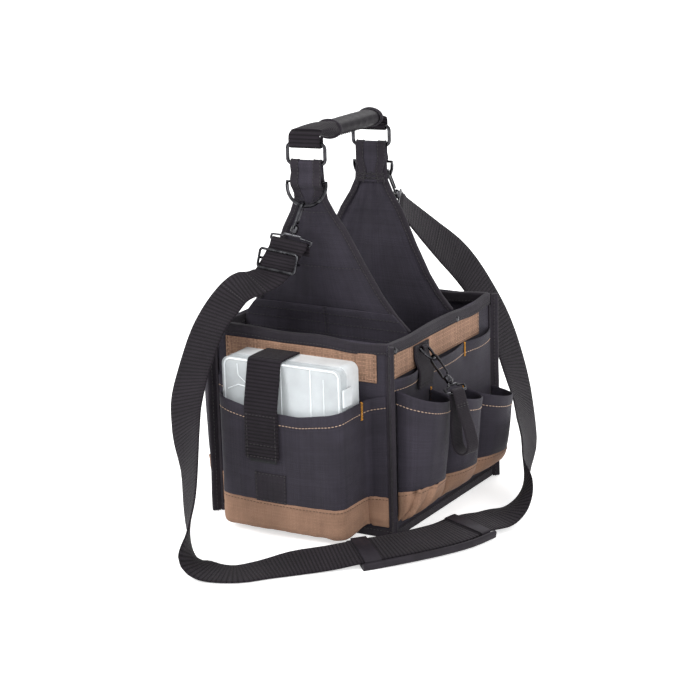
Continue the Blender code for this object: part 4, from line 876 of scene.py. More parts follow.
def build_box(s):
    """Walls, base board, rim tape, corner welts, base band and the tan bands."""
    inner_x = half_width - wall_thickness - gap
    top = box_height - tape - gap
    base = Sheet(finer_grid([[(x, y, base_thickness) for x in (-inner_x, inner_x)]
                             for y in (-half_depth + wall_thickness + gap,
                                       half_depth - wall_thickness - gap)],
                            0.006, (0, 0)), (0, 0, 1))
    shell("base_board", base, base_thickness, "black_cloth", "root", ["base_panel"])
    for side, run in (("left", half_depth), ("right", half_depth), ("front", inner_x), ("back", inner_x)):
        sheet = wall_sheet(side, -run, run, 0, top, 0)
        sheet.push(folds(sheet, s.fold_depth * 0.35, (0.05, 0.07), len(side)))
        shell(f"{side}_wall_cloth", sheet, wall_thickness, "black_cloth", "root", [f"{side}_wall"])
    middle_x, middle_y = half_width - wall_thickness / 2, half_depth - wall_thickness / 2
    inner = wall_thickness / 2 + gap
    outer = inner + tape
    foot, shoulder = box_height - rim_tape_drop, box_height - tape
    levels = np.linspace(foot, shoulder, 5)
    outline = [(outer, z) for z in levels]
    outline += [(outer * math.cos(a), shoulder + tape * math.sin(a))
                for a in np.linspace(0.3, math.pi - 0.3, 7)]
    outline += [(-outer, z) for z in levels[::-1]]
    outline += [(-inner, z) for z in levels] + [(inner, z) for z in levels[::-1]]
    loop = rounded_loop(middle_x, middle_y, 0.003, 0.004, 0.0036, 5.0)
    rim = sweep("rim_tape", loop, outline, "binding_tape", True)
    dress(rim, "root", ["rim_binding"])
    for out in (outer, -outer):
        line = [c + w * (out + math.copysign(0.0002, out)) + up * (foot + seam_inset)
                for c, w in zip(loop[0], loop[1])]
        stitch("thread_dark", line + line[:1])
    half_tape = (gap, gap + tape)
    band = [(half_tape[0], 0), (half_tape[1], 0.0006)]
    band += [(half_tape[1], z) for z in np.linspace(0.003, base_band_height - 0.0008, 3)]
    band += [(half_tape[0] + tape / 2, base_band_height), (half_tape[0], base_band_height - 0.0004)]
    loop = rounded_loop(half_width, half_depth, 0.002, 0.004, 0.0, 9.0)
    dress(sweep("base_tape", loop, band, "binding_tape", True), "root", ["base_band"])
    line = [c + w * (gap + tape + 0.0002) + up * (base_band_height - seam_inset)
            for c, w in zip(loop[0], loop[1])]
    stitch("thread_dark", line + line[:1])

    half = welt_thickness / 2
    nose = math.sqrt(2) * (tape + 2 * gap)
    outline = [(nose, 0), (nose - half, half), ((nose + welt_reach) / 2 - half, half * 0.92)]
    outline += [(welt_reach - half + half * math.cos(a), half * math.sin(a))
                for a in np.linspace(turn / 4, -turn / 4, 9)]
    outline += [((nose + welt_reach) / 2 - half, -half * 0.92), (nose - half, -half)]
    count = 56
    levels = np.linspace(0, box_height, count)
    for name, x_side, y_side in corners:
        way = Vector((x_side, y_side, 0)).normalized()
        centres = [Vector((x_side * half_width, y_side * half_depth, z))
                   + way * noise.noise(Vector((z * 30, x_side, y_side))) * 0.0006 for z in levels]
        cross = up.cross(way)
        made = sweep(f"welt_{name}_tape", (centres, [way] * count, [cross] * count), outline, "binding_tape")
        dress(made, "root", [f"welt_{name}"])
        for turn_side in (1, -1):
            stitch("thread_dark", [c + way * (nose + 0.0016) + cross * turn_side * (half + 0.0001)
                                   for c in centres])

    build_corner_seams()
    top = box_height - rim_tape_drop - contrast_clear
    foot = top - contrast_height
    for side in ("front", "back", "left", "right"):
        ends = side in ("front", "back")
        start = half_width - 1.6 * welt_reach if ends else half_depth - welt_thickness
        end = start if ends else half_depth - 3 * welt_reach
        low = foot if ends else max(foot, sleeve_lip + contrast_clear)
        sheet = wall_sheet(side, -start, end, low, top, gap + tape, s.grid_step)
        sheet.push(folds(sheet, 0.0005, (0.03, 0.02), 4.2 + len(side)))
        shell(f"{side}_tan_band", sheet, tape, "coarse_tan", "root", [f"contrast_{side}"])
        stitch("thread_brown", edge_line(sheet, "foot", seam_inset, 0.0001, 0.002))
        for edge in ("left", "right"):
            stitch("thread_brown", edge_line(sheet, edge, seam_inset, 0.0001, 0.002))


# Pockets

def pocket_sheet(side, columns, rows, depth, foot, lip, standoff=gap, passes=(3, 3), step=None):
    """The outer face of a pocket. Columns, rows and lip are as the CAD's pocket takes them."""
    origin, along, outward = wall_frame(side)
    grid = []
    for flat_share, full_share, depth_share in rows:
        line = []
        for place, bulge_share in columns:
            share = flat_share + (full_share - flat_share) * bulge_share
            level = foot + share * (lip(place) - foot)
            out = standoff + cloth + depth * depth_share * bulge_share
            line.append(tuple(origin + along * place + outward * out + up * level))
        grid.append(line)
    return Sheet(finer_grid(grid, step or sizes().grid_step, passes), outward)


def cut_rows(rows, seam_share, clear_share):
    """Split a pocket's rows at its seam into a lower skirt and an upper panel."""
    def mixed(share):
        for low, high in zip(rows, rows[1:]):
            if low[1] <= share <= high[1] and high[0] > low[0]:
                t = (share - low[1]) / (high[1] - low[1])
                return tuple(a + (b - a) * t for a, b in zip(low, high))
        return rows[-1]
    lower = [row for row in rows if row[1] < seam_share or row[2] < 0.5]
    upper = [row for row in rows if row[1] > seam_share + clear_share and row[2] >= 0.5]
    return lower + [mixed(seam_share)], [mixed(seam_share + clear_share)] + upper


def round_columns(low, high, count, power):
    """Columns of one rounded bulge between two places on the wall."""
    middle = (low + high) / 2
    half = (high - low) / 2
    return [(middle - half * math.cos(math.pi * k / count), math.sin(math.pi * k / count) ** power)
            for k in range(count + 1)]


def pleats(sheet, marks):
    """Creases down a sheet: place, lowest and highest share, depth, width and lean of each."""
    share = sheet.v / sheet.v[-1]
    amount = np.zeros(sheet.grid.shape[:2])
    for place, low, high, depth, width, lean in marks:
        run = np.clip((share - low) / 0.18, 0, 1) * np.clip((high - share) / 0.18, 0, 1)
        centre = place + lean * sheet.v
        off = sheet.u[None, :] - centre[:, None]
        amount -= depth * run[:, None] * np.exp(-(off / width) ** 2)
        amount += depth * 0.55 * run[:, None] * np.exp(-((off - 1.9 * width) / (1.3 * width)) ** 2)
    return amount


def upper_pocket(name, sheet, s, seed, strength=1.0):
    """A black pocket panel with folds, a stitched hem and its tan line of stitches."""
    sheet.push(folds(sheet, s.fold_depth * strength, (0.030, 0.085), seed))
    sheet.push(lip_hem(sheet, s.hem_width, s.hem_rise))
    stitch("thread_tan", edge_line(sheet, "lip", s.hem_width - 0.0012, 0.00015, 0.001))
    shell(f"{name}_cloth", sheet, cloth, "black_cloth", "root", [name])


def skirt(name, sheet, s, seed, marks=()):
    """A tan reinforcing panel with soft folds and brown stitches near its upper edge."""
    sheet.push(folds(sheet, s.fold_depth * 0.8, (0.028, 0.03), seed, (True, False, True, True)))
    sheet.push(pleats(sheet, marks))
    fall = sheet.v[-1] - sheet.v
    rise = 0.0006 * np.clip(1 - fall / 0.006, 0, 1)
    sheet.push(np.repeat(rise[:, None], sheet.grid.shape[1], axis=1))
    stitch("thread_brown", edge_line(sheet, "lip", 0.0026, 0.0001, 0.001))
    shell(f"{name}_cloth", sheet, cloth, "tan_cloth", "root", [name])


def build_front_pocket(s):
    left, right = front_face_left, front_face_right
    corner = front_bulge / 8
    columns = [(-front_wing, 0), (-left - corner, 0), (-left - corner / 2, 0.12), (-left, 0.82),
               (-left + corner / 2, 0.94), (-left + 2 * corner, 1), (-left / 3, 1), (right / 3, 1),
               (right - 2 * corner, 1), (right - corner / 2, 0.94), (right, 0.82), (right + corner / 2, 0.12),
               (right + corner, 0), (front_wing, 0)]
    rows = [(0, 0, 0.03), (0.02, -0.05, 0.55), (0.05, -0.06, 0.93), (0.09, -0.02, 1), (0.21, 0.19, 1),
            (0.5, 0.5, 1), (0.8, 0.78, 1), (1, 1, 1)]

    def lip(place):
        share = 1 - min(abs(place - left / 16) / (left + right) * 2, 1) ** 2
        wing = max(abs(place) - right, 0) / (front_wing - right)
        return front_lip * (1 - share * 0.09 + wing * 0.05)

    seam = (front_seam - front_foot) / (front_lip - front_foot)
    lower, upper = cut_rows(rows, seam, gap / (front_lip * 0.91 - front_foot))
    panel = pocket_sheet("front", columns, upper, front_bulge, front_foot, lip)
    upper_pocket("front_pocket", panel, s, 1.7)
    low_panel = pocket_sheet("front", columns, lower, front_bulge, front_foot, lip, passes=(2, 3))
    turns = [np.interp(x, low_panel.grid[-1, :, 0], low_panel.u) for x in (-left - corner, right + corner)]
    skirt("front_pocket_skirt", low_panel, s, 2.9, [(u, -0.2, 1.3, 0.0022, 0.0016, 0) for u in turns])
    out = Vector((0, -1, 0))
    for x in (right + corner * 0.55, -left - corner * 0.55):
        column = np.interp(x, panel.grid[-1, :, 0], np.arange(panel.grid.shape[1]))
        top = panel.at(panel.grid.shape[0], column, 0.0012)
        low = panel.at(np.interp(top.z - s.tack_length, panel.grid[:, int(column), 2],
                                 np.arange(panel.grid.shape[0])), column, 0.0012)
        bar_tack(low, top + up * 0.0015, Vector((1, 0, 0)), out)
    build_patch(panel)


def build_patch(panel):
    """A bare square patch sewn low on the front pocket."""
    middle = panel.grid.shape[0] // 2
    centre = panel.grid.shape[1] // 2
    level = panel.grid[:, centre, 2]
    places = panel.grid[middle, :, 0]
    columns = np.interp((-0.031, 0.0075), places, np.arange(len(places)))
    rows = np.interp((0.036, 0.074), level, np.arange(len(level)))
    grid = [[tuple(panel.at(r, c, 0.0007)) for c in np.linspace(*columns, 22)]
            for r in np.linspace(*rows, 22)]
    patch = Sheet(np.array(grid), (0, -1, 0))
    shell("bare_patch", patch, 0.0007, "binding_tape", "root", ())
    for edge in ("foot", "lip", "left", "right"):
        stitch("thread_dark", edge_line(patch, edge, 0.0014, 0.0001, 0.001))


def build_side_pockets(s):
    run = half_depth - welt_thickness
    edges = [-run + 2 * run * k / 3 for k in range(4)]
    rows = [(0, 0, 0.03), (0.02, 0.03, 0.28), (0.05, 0.09, 0.56), (0.09, 0.17, 0.70), (0.3, 0.32, 0.80),
            (0.6, 0.59, 0.90), (1, 0.93, 1)]

    def lip(place):
        return side_lip_front + (side_lip_back - side_lip_front) * (place + half_depth) / box_depth

    seam = (side_seam - side_foot) / ((side_lip_front + side_lip_back) / 2 - side_foot)
    lower, upper = cut_rows(rows, seam, gap / (side_lip_back - side_foot))
    standoff = 2 * gap + cloth
    sleeve_edges = [-run, -run * 0.51, run * 0.42, run]
    sleeve_rows = [(0, 0, 0), (0.45, 0.45, 0), (0.78, 0.78, 0), (0.84, 0.84, 0.22), (0.91, 0.91, 0.58),
                   (1, 1, 1)]
    for number, (side, x_side, depth) in enumerate((("right", 1, side_bulge), ("left", -1, left_side_bulge))):
        out = Vector((x_side, 0, 0))
        columns = []
        for index, (name, low, high) in enumerate(zip(("front", "middle", "rear"), edges, edges[1:])):
            bulge = round_columns(low, high, 12, 0.62)
            columns += bulge if index == 0 else bulge[1:]
            trimmed = [(min(max(place, low + gap / 2), high - gap / 2), share) for place, share in bulge]
            sheet = pocket_sheet(side, trimmed, upper, depth, side_foot, lip, standoff, (3, 1))
            upper_pocket(f"{side}_pocket_{name}", sheet, s, 3.1 + index * 1.7 + number * 9)
        sheet = pocket_sheet(side, columns, lower, depth, side_foot, lip, standoff, (2, 1))
        length = sheet.u[-1]
        run_marks = [(0.011, -0.2, 1.3, 0.0046, 0.0026, 0.10), (0.021, 0.0, 1.2, 0.0034, 0.0036, 0.40),
                     (0.040, -0.2, 0.8, 0.0020, 0.0050, 0.50),
                     (length * 0.37, -0.1, 0.9, 0.0024, 0.0032, -0.1),
                     (length * 0.655, -0.1, 0.9, 0.0026, 0.003, 0.1),
                     (length * 0.985, 0.1, 1.2, 0.0018, 0.003, -0.2)]
        skirt(f"{side}_pocket_skirt", sheet, s, 5.3 + number, run_marks)
        reach = standoff + cloth * 0.7
        seam_line = wall_sheet(side, -run, run, side_foot + gap, side_foot + tape, reach)
        shell(f"{side}_skirt_foot_seam", seam_line, reach - gap, "binding_tape", "root", ())
        for place in edges[1:-1]:
            top = Vector((x_side * (half_width + standoff + cloth + 0.0016), place, lip(place) + 0.003))
            bar_tack(top - up * s.tack_length * 0.8, top, Vector((0, 1, 0)), out)
        columns = []
        for index, (low, high) in enumerate(zip(sleeve_edges, sleeve_edges[1:])):
            bulge = round_columns(low, high, 8, 2)
            columns += bulge if index == 0 else bulge[1:]
        sheet = pocket_sheet(side, columns, sleeve_rows, sleeve_bulge, sleeve_foot, lambda place: sleeve_lip,
                             passes=(2, 2))
        upper_pocket(f"{side}_tool_sleeves", sheet, s, 8.8 + number, 0.3)
        for place in sleeve_edges[1:-1]:
            top = Vector((x_side * (half_width + gap + cloth + 0.0014), place, sleeve_lip + 0.001))
            bar_tack(top - up * s.tack_length * 0.85, top, Vector((0, 1, 0)), out)


def build_back_pocket(s):
    run = half_width - welt_thickness
    columns = round_columns(-run, 0, 8, 0.8) + round_columns(0, run, 8, 0.8)[1:]
    rows = [(0, 0, 0.06), (0.03, 0.03, 0.6), (0.1, 0.1, 0.9), (0.21, 0.21, 0.95), (0.6, 0.6, 1), (1, 1, 1)]
    seam = (back_seam - front_foot) / (back_lip - front_foot)
    lower, upper = cut_rows(rows, seam, gap / (back_lip - front_foot))
    sheet = pocket_sheet("back", columns, upper, back_bulge, front_foot, lambda place: back_lip,
                         passes=(3, 2))
    upper_pocket("back_pocket", sheet, s, 6.1)
    skirt("back_pocket_skirt", pocket_sheet("back", columns, lower, back_bulge, front_foot,
                                            lambda place: back_lip, passes=(2, 2)), s, 7.7)
    for x in (-run + 0.004, 0, run - 0.004):
        top = Vector((x, half_depth + gap + cloth + 0.0008, back_lip + 0.001))
        bar_tack(top - up * s.tack_length * 0.85, top, Vector((1, 0, 0)), Vector((0, 1, 0)))


# Yokes

YOKE_SHARES = ((0, 1), (0.09, 0.865), (0.22, 0.71), (0.41, 0.535), (0.63, 0.36), (0.74, 0.25), (0.83, 0.185),
               (1, 0.17))


def yoke_stations(foot_y, bar, facing_side, steps=4):
    """Stations up a yoke: centre, width direction, face direction and half width."""
    foot_half = half_width - wall_thickness - gap - tape - 2 * gap
    out = Vector((0, -1, 0)) * facing_side
    stations = [(Vector((0, foot_y, base_thickness + gap)), Vector((1, 0, 0)), out, foot_half)]
    rise = bar.z - box_height
    top_share = 1 - neck_panel_drop / rise
    rows = []
    for low, high in zip(YOKE_SHARES, YOKE_SHARES[1:]):
        rows += [tuple(a + (b - a) * k / steps for a, b in zip(low, high)) for k in range(steps)]
    for share, width_share in rows + [YOKE_SHARES[-1]]:
        t = share * top_share
        angle = yoke_twist * t * t * (3 - 2 * t)
        wide = Vector((math.cos(angle), math.sin(angle), 0))
        face = Vector((math.sin(angle), -math.cos(angle), 0)) * facing_side
        centre = Vector((0, foot_y + (bar.y - foot_y) * t, box_height + rise * t))
        stations.append((centre, wide, face, foot_half * max(width_share, neck_half_width / foot_half)))
    return stations


def build_yoke(name, foot_y, bar, lean, facing_side, tongue_length, s):
    """A yoke's padded panel, its edge tapes, and the folded sleeve at its neck."""
    stations = yoke_stations(foot_y, bar, facing_side)
    inset = tape + gap
    grid = []
    for centre, wide, face, half in stations:
        line = [tuple(centre + wide * (half - inset) * k + face * yoke_thickness / 2)
                for k in np.linspace(-1, 1, 9)]
        grid.append(line)
    sheet = Sheet(finer_grid(grid, s.grid_step * 1.3, (2, 2)), tuple(stations[0][2]))
    sheet.push(folds(sheet, s.fold_depth * 1.5, (0.034, 0.060), 11.0 + facing_side))
    drop = sheet.v[-1] - sheet.v
    crease = np.exp(-((drop - 0.066) / 0.0018) ** 2) - 0.5 * np.exp(-((drop - 0.071) / 0.004) ** 2)
    sheet.push(np.repeat(crease[:, None], sheet.grid.shape[1], axis=1) * -0.0010)
    shell(f"{name}_yoke_cloth", sheet, yoke_thickness, "black_cloth", "root", [f"{name}_yoke"])
    node = [f"{name}_yoke_binding"]
    inner = yoke_thickness / 2 + gap
    outer = inner + tape / 2
    bend = [(outer - outer * math.sin(a), outer * math.cos(a)) for a in np.linspace(0, math.pi, 7)]
    outline = [(yoke_binding_width, outer)] + bend + [(yoke_binding_width, -outer),
                                                      (yoke_binding_width, -inner), (tape, -inner),
                                                      (tape, inner), (yoke_binding_width, inner)]
    upper = stations[1:]
    for side in (-1, 1):
        centres = [c + w * (side * half) for c, w, _, half in upper]
        wides = [w * -side for _, w, _, _ in upper]
        faces_ = [f for _, _, f, _ in upper]
        made = sweep(f"{name}_yoke_edge_{'left' if side < 0 else 'right'}", (centres, wides, faces_), outline,
                     "binding_tape")
        dress(made, "root", node)
        for off in (outer, -outer):
            stitch("thread_dark", [c + w * (yoke_binding_width - 0.002) + f * off * 1.03
                                   for c, w, f in zip(centres, wides, faces_)])

    out = facing * facing_side
    leg = yoke_thickness / 2 + gap + cloth / 2
    roof = ring_wire + 2 * gap + cloth / 2
    d_out = yoke_thickness / 2 + 6 * gap + 2 * d_wire + cloth / 2 + tape / 2
    back = -leg - tape / 3
    spots = [(back, -sleeve_back_length), (back, -neck_panel_drop), (-roof, -ring_wire)]
    spots += [(roof * math.cos(a), roof * math.sin(a)) for a in np.linspace(math.pi, 0, 7)]
    reach = d_wire + 2 * gap
    spots += [(roof, -ring_wire), (leg + tape / 2, -neck_panel_drop + gap), (d_out, -d_bar_drop + reach),
              (d_out, -d_bar_drop - reach), (leg + tape, -d_bar_drop - 4 * d_wire)]
    tail, start = leg + tape, -d_bar_drop - 4 * d_wire
    for k in range(1, 7):
        spots.append((tail, start + (-tongue_length - start) * math.sin(turn / 4 * k / 6)))
    points = [bar + out * (a + lean * min(b, 0)) + up * b for a, b in spots]
    fine = finer_route(points, [across] * len(points), [neck_half_width] * len(points), 0.0012, 1)
    ends = []
    last = fine[0][-1]
    for point, half in zip(fine[0], fine[3]):
        left = np.linalg.norm(last - point)
        share = max(1 - left / neck_half_width, 0)
        ends.append(half * max(math.sqrt(1 - share * share), 0.35))
    made = sweep(f"{name}_neck_sleeve", fine[:3], [flat_section(h, cloth) for h in ends], "black_cloth")
    dress(made, "root", node)
    thin = cloth * 0.45
    outs = [Vector(f) * facing_side for f in fine[2]]
    for side in (-1, 1):
        tape_half = neck_half_width * 0.26
        centres = [Vector(p) + across * side * (h - tape_half - 0.0004) + f * (cloth / 2 + thin * 0.3)
                   for p, h, f in zip(fine[0], ends, outs) if h > neck_half_width * 0.8]
        count = len(centres)
        edge = sweep(f"{name}_neck_tape_{'left' if side < 0 else 'right'}",
                     (centres, fine[1][:count], fine[2][:count]), flat_section(tape_half, thin),
                     "binding_tape")
        dress(edge, "root", ())
        for share in (0.50, 0.93):
            stitch("thread_dark", [Vector(p) + across * side * h * share + f * (cloth / 2 + thin * 0.9)
                                   for p, h, f in zip(fine[0], ends, outs)])
    for start in (2, 6):
        zigzag = [Vector(fine[0][start + k % 2 * 3]) + across * (k / 15 - 1) * neck_half_width * 0.92
                  + outs[start] * (cloth / 2 + thin * 0.9) for k in range(31)]
        stitch("thread_dark", zigzag)
    return sheet


def build_yokes(s):
    near = build_yoke("near", -near_yoke_foot, near_bar, near_lean, 1, near_tongue_length, s)
    far = build_yoke("far", far_yoke_foot, far_bar, far_lean, -1, far_tongue_length, s)
    for sheet in (near, far):
        for drop in (0.012, 0.0155, 0.047, 0.115):
            stitch("thread_dark", edge_line(sheet, "lip", drop, 0.0002, 0.004))
    stations = yoke_stations(-near_yoke_foot, near_bar, 1)
    lift = yoke_thickness / 2 + gap + tape / 2 + gap + cloth
    foot, rim, above = stations[0], stations[1], stations[5]
    share = (yoke_pocket_lip - rim[0].z) / (above[0].z - rim[0].z)
    chosen = [foot, rim, [a + (b - a) * share for a, b in zip(rim, above)]]
    grid = [[tuple(c + f.normalized() * lift + w.normalized() * (h - tape) * k)
             for k in np.linspace(-1, 1, 13)] for c, w, f, h in chosen]
    sheet = Sheet(finer_grid(grid, s.grid_step * 1.4, (2, 0)), (0, -1, 0))
    sheet.push(folds(sheet, s.fold_depth * 0.5, (0.05, 0.03), 13.0))
    sheet.push(lip_hem(sheet, 0.010, s.hem_rise))
    middle = sheet.grid.shape[1] // 2
    groove = np.exp(-((sheet.u - sheet.u[middle]) / 0.0020) ** 2)
    sheet.push(np.repeat(groove[None, :], sheet.grid.shape[0], axis=0) * -0.0009)
    shell("near_yoke_pocket_cloth", sheet, cloth, "black_cloth", "root", ["near_yoke_pocket"])
    for drop in (0.0088, 0.021, 0.034):
        stitch("thread_dark", edge_line(sheet, "lip", drop, 0.0002, 0.002))
    for side in (-0.0018, 0.0018):
        column = np.interp(sheet.u[middle] + side, sheet.u, np.arange(len(sheet.u)))
        stitch("thread_dark", [sheet.at(r, column, 0.0002) for r in np.linspace(4, len(sheet.v) - 1, 90)])


# Handle

def grip_ends():
    """The two ends of the grip and the strap's way round each ring."""
    near_top, far_top = near_bar + up * ring_pitch, far_bar + up * ring_pitch
    wrap = ring_wire + 2 * gap + webbing / 2
    near_grip = Vector((grip_offset, far_top.y - grip_length - 2 * wrap, near_top.z + grip_rise * 0.8))
    far_grip = Vector((grip_offset, far_top.y - 2 * wrap, far_top.z + grip_rise))
    return near_top, far_top, wrap, near_grip, far_grip


def build_handle_strap(s):
    near_top, far_top, wrap, near_grip, far_grip = grip_ends()

    def loop(top, way, leg, arch):
        spots = [(wrap, leg)]
        spots += [(wrap * math.cos(a), wrap * math.sin(a)) for a in np.linspace(0, -math.pi, 7)]
        spots += [(-wrap, arch * 0.45), (-wrap * 0.8, arch * 0.8), (wrap * 0.3, arch)]
        return [top + Vector((0, way * a, b)) for a, b in spots]

    near_points = loop(near_top, 1, handle_arch * 0.45, handle_arch - webbing)
    far_points = loop(far_top, -1, grip_rise * 0.3, grip_rise)
    lead = near_grip - (far_grip - near_grip).normalized() * (2 * wrap)
    middle = [near_grip.lerp(far_grip, k / 10) for k in range(11)]
    start = near_points[-1]
    stage = [start + (lead - start) * 0.45 + up * webbing * 0.4, lead]
    points = near_points + stage + middle + list(reversed(far_points))
    flat = neck_half_width
    halves = [flat] * len(near_points) + [flat * 0.97, flat * 0.80]
    halves += [bunched_half_width] * len(middle)
    halves += [(flat + bunched_half_width) / 2] + [flat] * (len(far_points) - 1)
    _, route = strap("handle_webbing", points, [across] * len(points), halves, webbing, "strap_webbing",
                        "handle", ["handle_strap"], step=0.0014, passes=1)
    for side in (-1, 1):
        stitch("thread_dark", [Vector(p) + Vector(w) * side * (h - 0.0025)
                               + Vector(f) * (webbing / 2 + 0.0001) for p, w, f, h in zip(*route)][:26],
               "handle")


def build_lead_fold():
    """The webbing gathered into a thick fold between the near ring and the grip."""
    near_top, _, _, near_grip, far_grip = grip_ends()
    run = (far_grip - near_grip).normalized()
    first = near_top + Vector((0, 0.001, handle_arch - webbing * 0.6))
    last = near_grip + run * 0.004
    bend = last - run * (last - first).length * 0.45
    centres, sections = [], []
    angles = np.linspace(0, turn, 28, endpoint=False)
    for t in np.linspace(0, 1, 26):
        share = math.sin(min(t * 1.25, 1) * turn / 4)
        half = neck_half_width * 0.97 + (grip_half_width * 0.90 - neck_half_width * 0.97) * t ** 1.5
        high = webbing * 0.75 + (grip_half_height * 0.86 - webbing * 0.75) * share
        centre = first * (1 - t) ** 2 + bend * 2 * t * (1 - t) + last * t * t
        centres.append(centre + up * (high - webbing * 0.5) * 0.45 * (1 - t))
        ripple = 1 + 0.05 * np.sin(angles * 5 + t * 3) * share
        sections.append(np.stack((half * np.sign(np.cos(angles)) * np.abs(np.cos(angles)) ** 0.7 * ripple,
                                  high * np.sign(np.sin(angles)) * np.abs(np.sin(angles)) ** 0.8 * ripple),
                                 1))
    ways = np.gradient(np.array([tuple(c) for c in centres]), axis=0)
    faces_ = [across.cross(Vector(w)).normalized() for w in ways]
    made = sweep("gathered_webbing", (centres, [across] * 26, faces_), sections, "strap_webbing")
    dress(made, "handle", ())


def swollen(made, pressure, cap, voxel):
    """Remesh a closed pad and swell it by a short simulation that moves no point past a cap."""
    remesh = made.modifiers.new("Even mesh", "REMESH")
    remesh.mode = "VOXEL"
    remesh.voxel_size = voxel
    even = baked(made, f"{made.name}_even")
    start = np.array([v.co[:] for v in even.data.vertices])
    mod = even.modifiers.new("Cloth", "CLOTH")
    mod.settings.use_pressure = True
    mod.settings.uniform_pressure_force = pressure
    mod.settings.effector_weights.gravity = 0
    mod.settings.tension_stiffness = 15
    mod.point_cache.frame_start = 1
    mod.point_cache.frame_end = swell_frames
    scene = bpy.context.scene
    for number in range(1, swell_frames + 1):
        scene.frame_set(number)
    graph = bpy.context.evaluated_depsgraph_get()
    moved = np.array([v.co[:] for v in even.evaluated_get(graph).data.vertices])
    scene.frame_set(1)
    even.modifiers.remove(mod)
    shift = moved - start
    length = np.maximum(np.linalg.norm(shift, axis=1, keepdims=True), 1e-9)
    start = start + shift * np.minimum(1, cap / length)
    even.data.vertices.foreach_set("co", start.ravel())
    mod = even.modifiers.new("Rounder", "SUBSURF")
    mod.levels = mod.render_levels = 1
    return even


def build_grip(s):
    """The padded, leather-wrapped grip: a swollen tube with rolled ends and a seam underneath."""
    _, _, _, near_grip, far_grip = grip_ends()
    run = far_grip - near_grip
    direction = run.normalized()
    rise = direction.cross(across).normalized() * -1
    shape = ((0.004, 0.80), (0.02, 0.92), (0.08, 0.955), (0.35, 0.98), (0.65, 0.98), (0.92, 0.955),
             (0.98, 0.92), (0.996, 0.80))
    sides = 32
    shares = np.linspace(shape[0][0], shape[-1][0], 40)
    scale = np.interp(shares, [a for a, _ in shape], [b for _, b in shape])
    angles = np.linspace(0, turn, sides, endpoint=False)
    outline = np.stack((grip_half_width * np.cos(angles), grip_half_height * np.sin(angles)), axis=1)
    sections = [outline * k * (1 + 0.012 * math.sin(i * 1.1)) for i, k in enumerate(scale)]
    centres = [near_grip + run * k for k in shares]
    tube = sweep("grip_tube", (centres, [across] * 40, [rise] * 40), sections, "grip_leather")
    even = swollen(tube, pressure=4.0, cap=0.0012, voxel=0.0025)
    grip = baked(even, "padded_grip")
    grip.data.materials.clear()
    grip.data.materials.append(finishes["grip_leather"])
    dress(grip, "handle", ["handle_grip"])
    for label, share, way in (("near", 0.010, -1), ("far", 0.992, 1)):
        for number, (size, shift) in enumerate(((0.97, 0.0), (0.82, 0.0014), (0.56, 0.0018))):
            centre = near_grip + run * share + direction * way * shift
            ring = [centre + across * (grip_half_width * size * math.cos(a)) + rise * (grip_half_height * size
                    * math.sin(a)) for a in np.linspace(0, turn, 40, endpoint=False)]
            ways = [(p - centre).normalized() for p in ring]
            bead = [(0.0019 * math.cos(a), 0.0024 * math.sin(a))
                    for a in np.linspace(0, turn, 10, endpoint=False)]
            rolled = sweep(f"grip_{label}_roll_{number}", (ring, ways, [direction] * 40), bead,
                           "binding_tape", True)
            dress(rolled, "handle", ())
    build_lead_fold()
    low = [near_grip + run * k - rise * grip_half_height + across * 0.003
           for k in np.linspace(0.03, 0.97, 60)]
    stitch("thread_dark", low, "handle")
    for share in (0.035, 0.965):
        centre = near_grip + run * share
        stitch("thread_dark", [centre + across * (grip_half_width * 0.985 * math.cos(a))
                               + rise * (grip_half_height * 0.985 * math.sin(a))
                               for a in np.linspace(0, turn, 60)], "handle")


# Parts box strap, tape strap

def build_box_strap(s):
    face = -half_depth - gap - front_bulge - cloth - gap
    wall_face = -half_depth - gap - tape - gap
    top = front_foot + cloth + gap + parts_height
    outside = face - patch_thickness - gap - webbing / 2
    half = box_strap_width / 2
    corner = 4 * webbing
    crown = top + gap + webbing / 2
    start = Vector((box_strap_centre, wall_face - webbing / 2, crown))
    lid_front = -half_depth - gap - cloth - parts_depth
    spots = [start, Vector((start.x, (start.y + lid_front) / 2, crown + webbing * 0.2))]
    bend = 2 * gap + webbing / 2
    spots += [Vector((start.x, lid_front - bend * math.sin(a), top + bend * math.cos(a)))
              for a in np.linspace(0, turn / 4, 5)]
    spots += [Vector((start.x, outside, front_lip - corner / 2)),
              Vector((start.x, outside, (front_lip + box_strap_tail) / 2)),
              Vector((start.x, outside, box_strap_tail))]
    wide = Vector((1, 0, 0))
    _, route = strap("box_strap_webbing", spots, [wide] * len(spots), [half] * len(spots), webbing,
                     "strap_webbing", "box_flap", ["box_strap"], step=0.002, passes=3)
    points = [Vector(p) - Vector(f) * (webbing / 2 + 0.0002) * (1 if Vector(f).y > 0 else -1)
              for p, f in zip(route[0], route[2])]
    tail = [p for p in points if p.z < box_strap_tail + 0.050 and p.y < outside + 0.004]
    for side in (-1, 1):
        stitch("thread_dark", [p + wide * side * (half - 0.0035) for p in tail], "box_flap")
    for p in (tail[-2], tail[len(tail) * 2 // 3], tail[0]):
        stitch("thread_dark", [p - wide * (half - 0.0035), p + wide * (half - 0.0035)], "box_flap")
    pad_half = half - 3 * tape
    low = box_strap_tail - 3 * tape
    step = 0.0016
    grid = [[(x, face - patch_thickness, z) for x in np.arange(box_strap_centre - pad_half,
                                                             box_strap_centre + pad_half + step / 2, step)]
            for z in np.arange(low, low + pad_patch_height + step / 2, step)]
    pile = Sheet(np.array(grid), (0, -1, 0))
    rough = np.array([[noise.noise(Vector((x * 900, z * 900, 1))) for x, _, z in line] for line in grid])
    pile.push(rough * 0.0003)
    shell("fastener_pile", pile, patch_thickness, "fuzzy_pile", "root", ["box_strap_pad"])


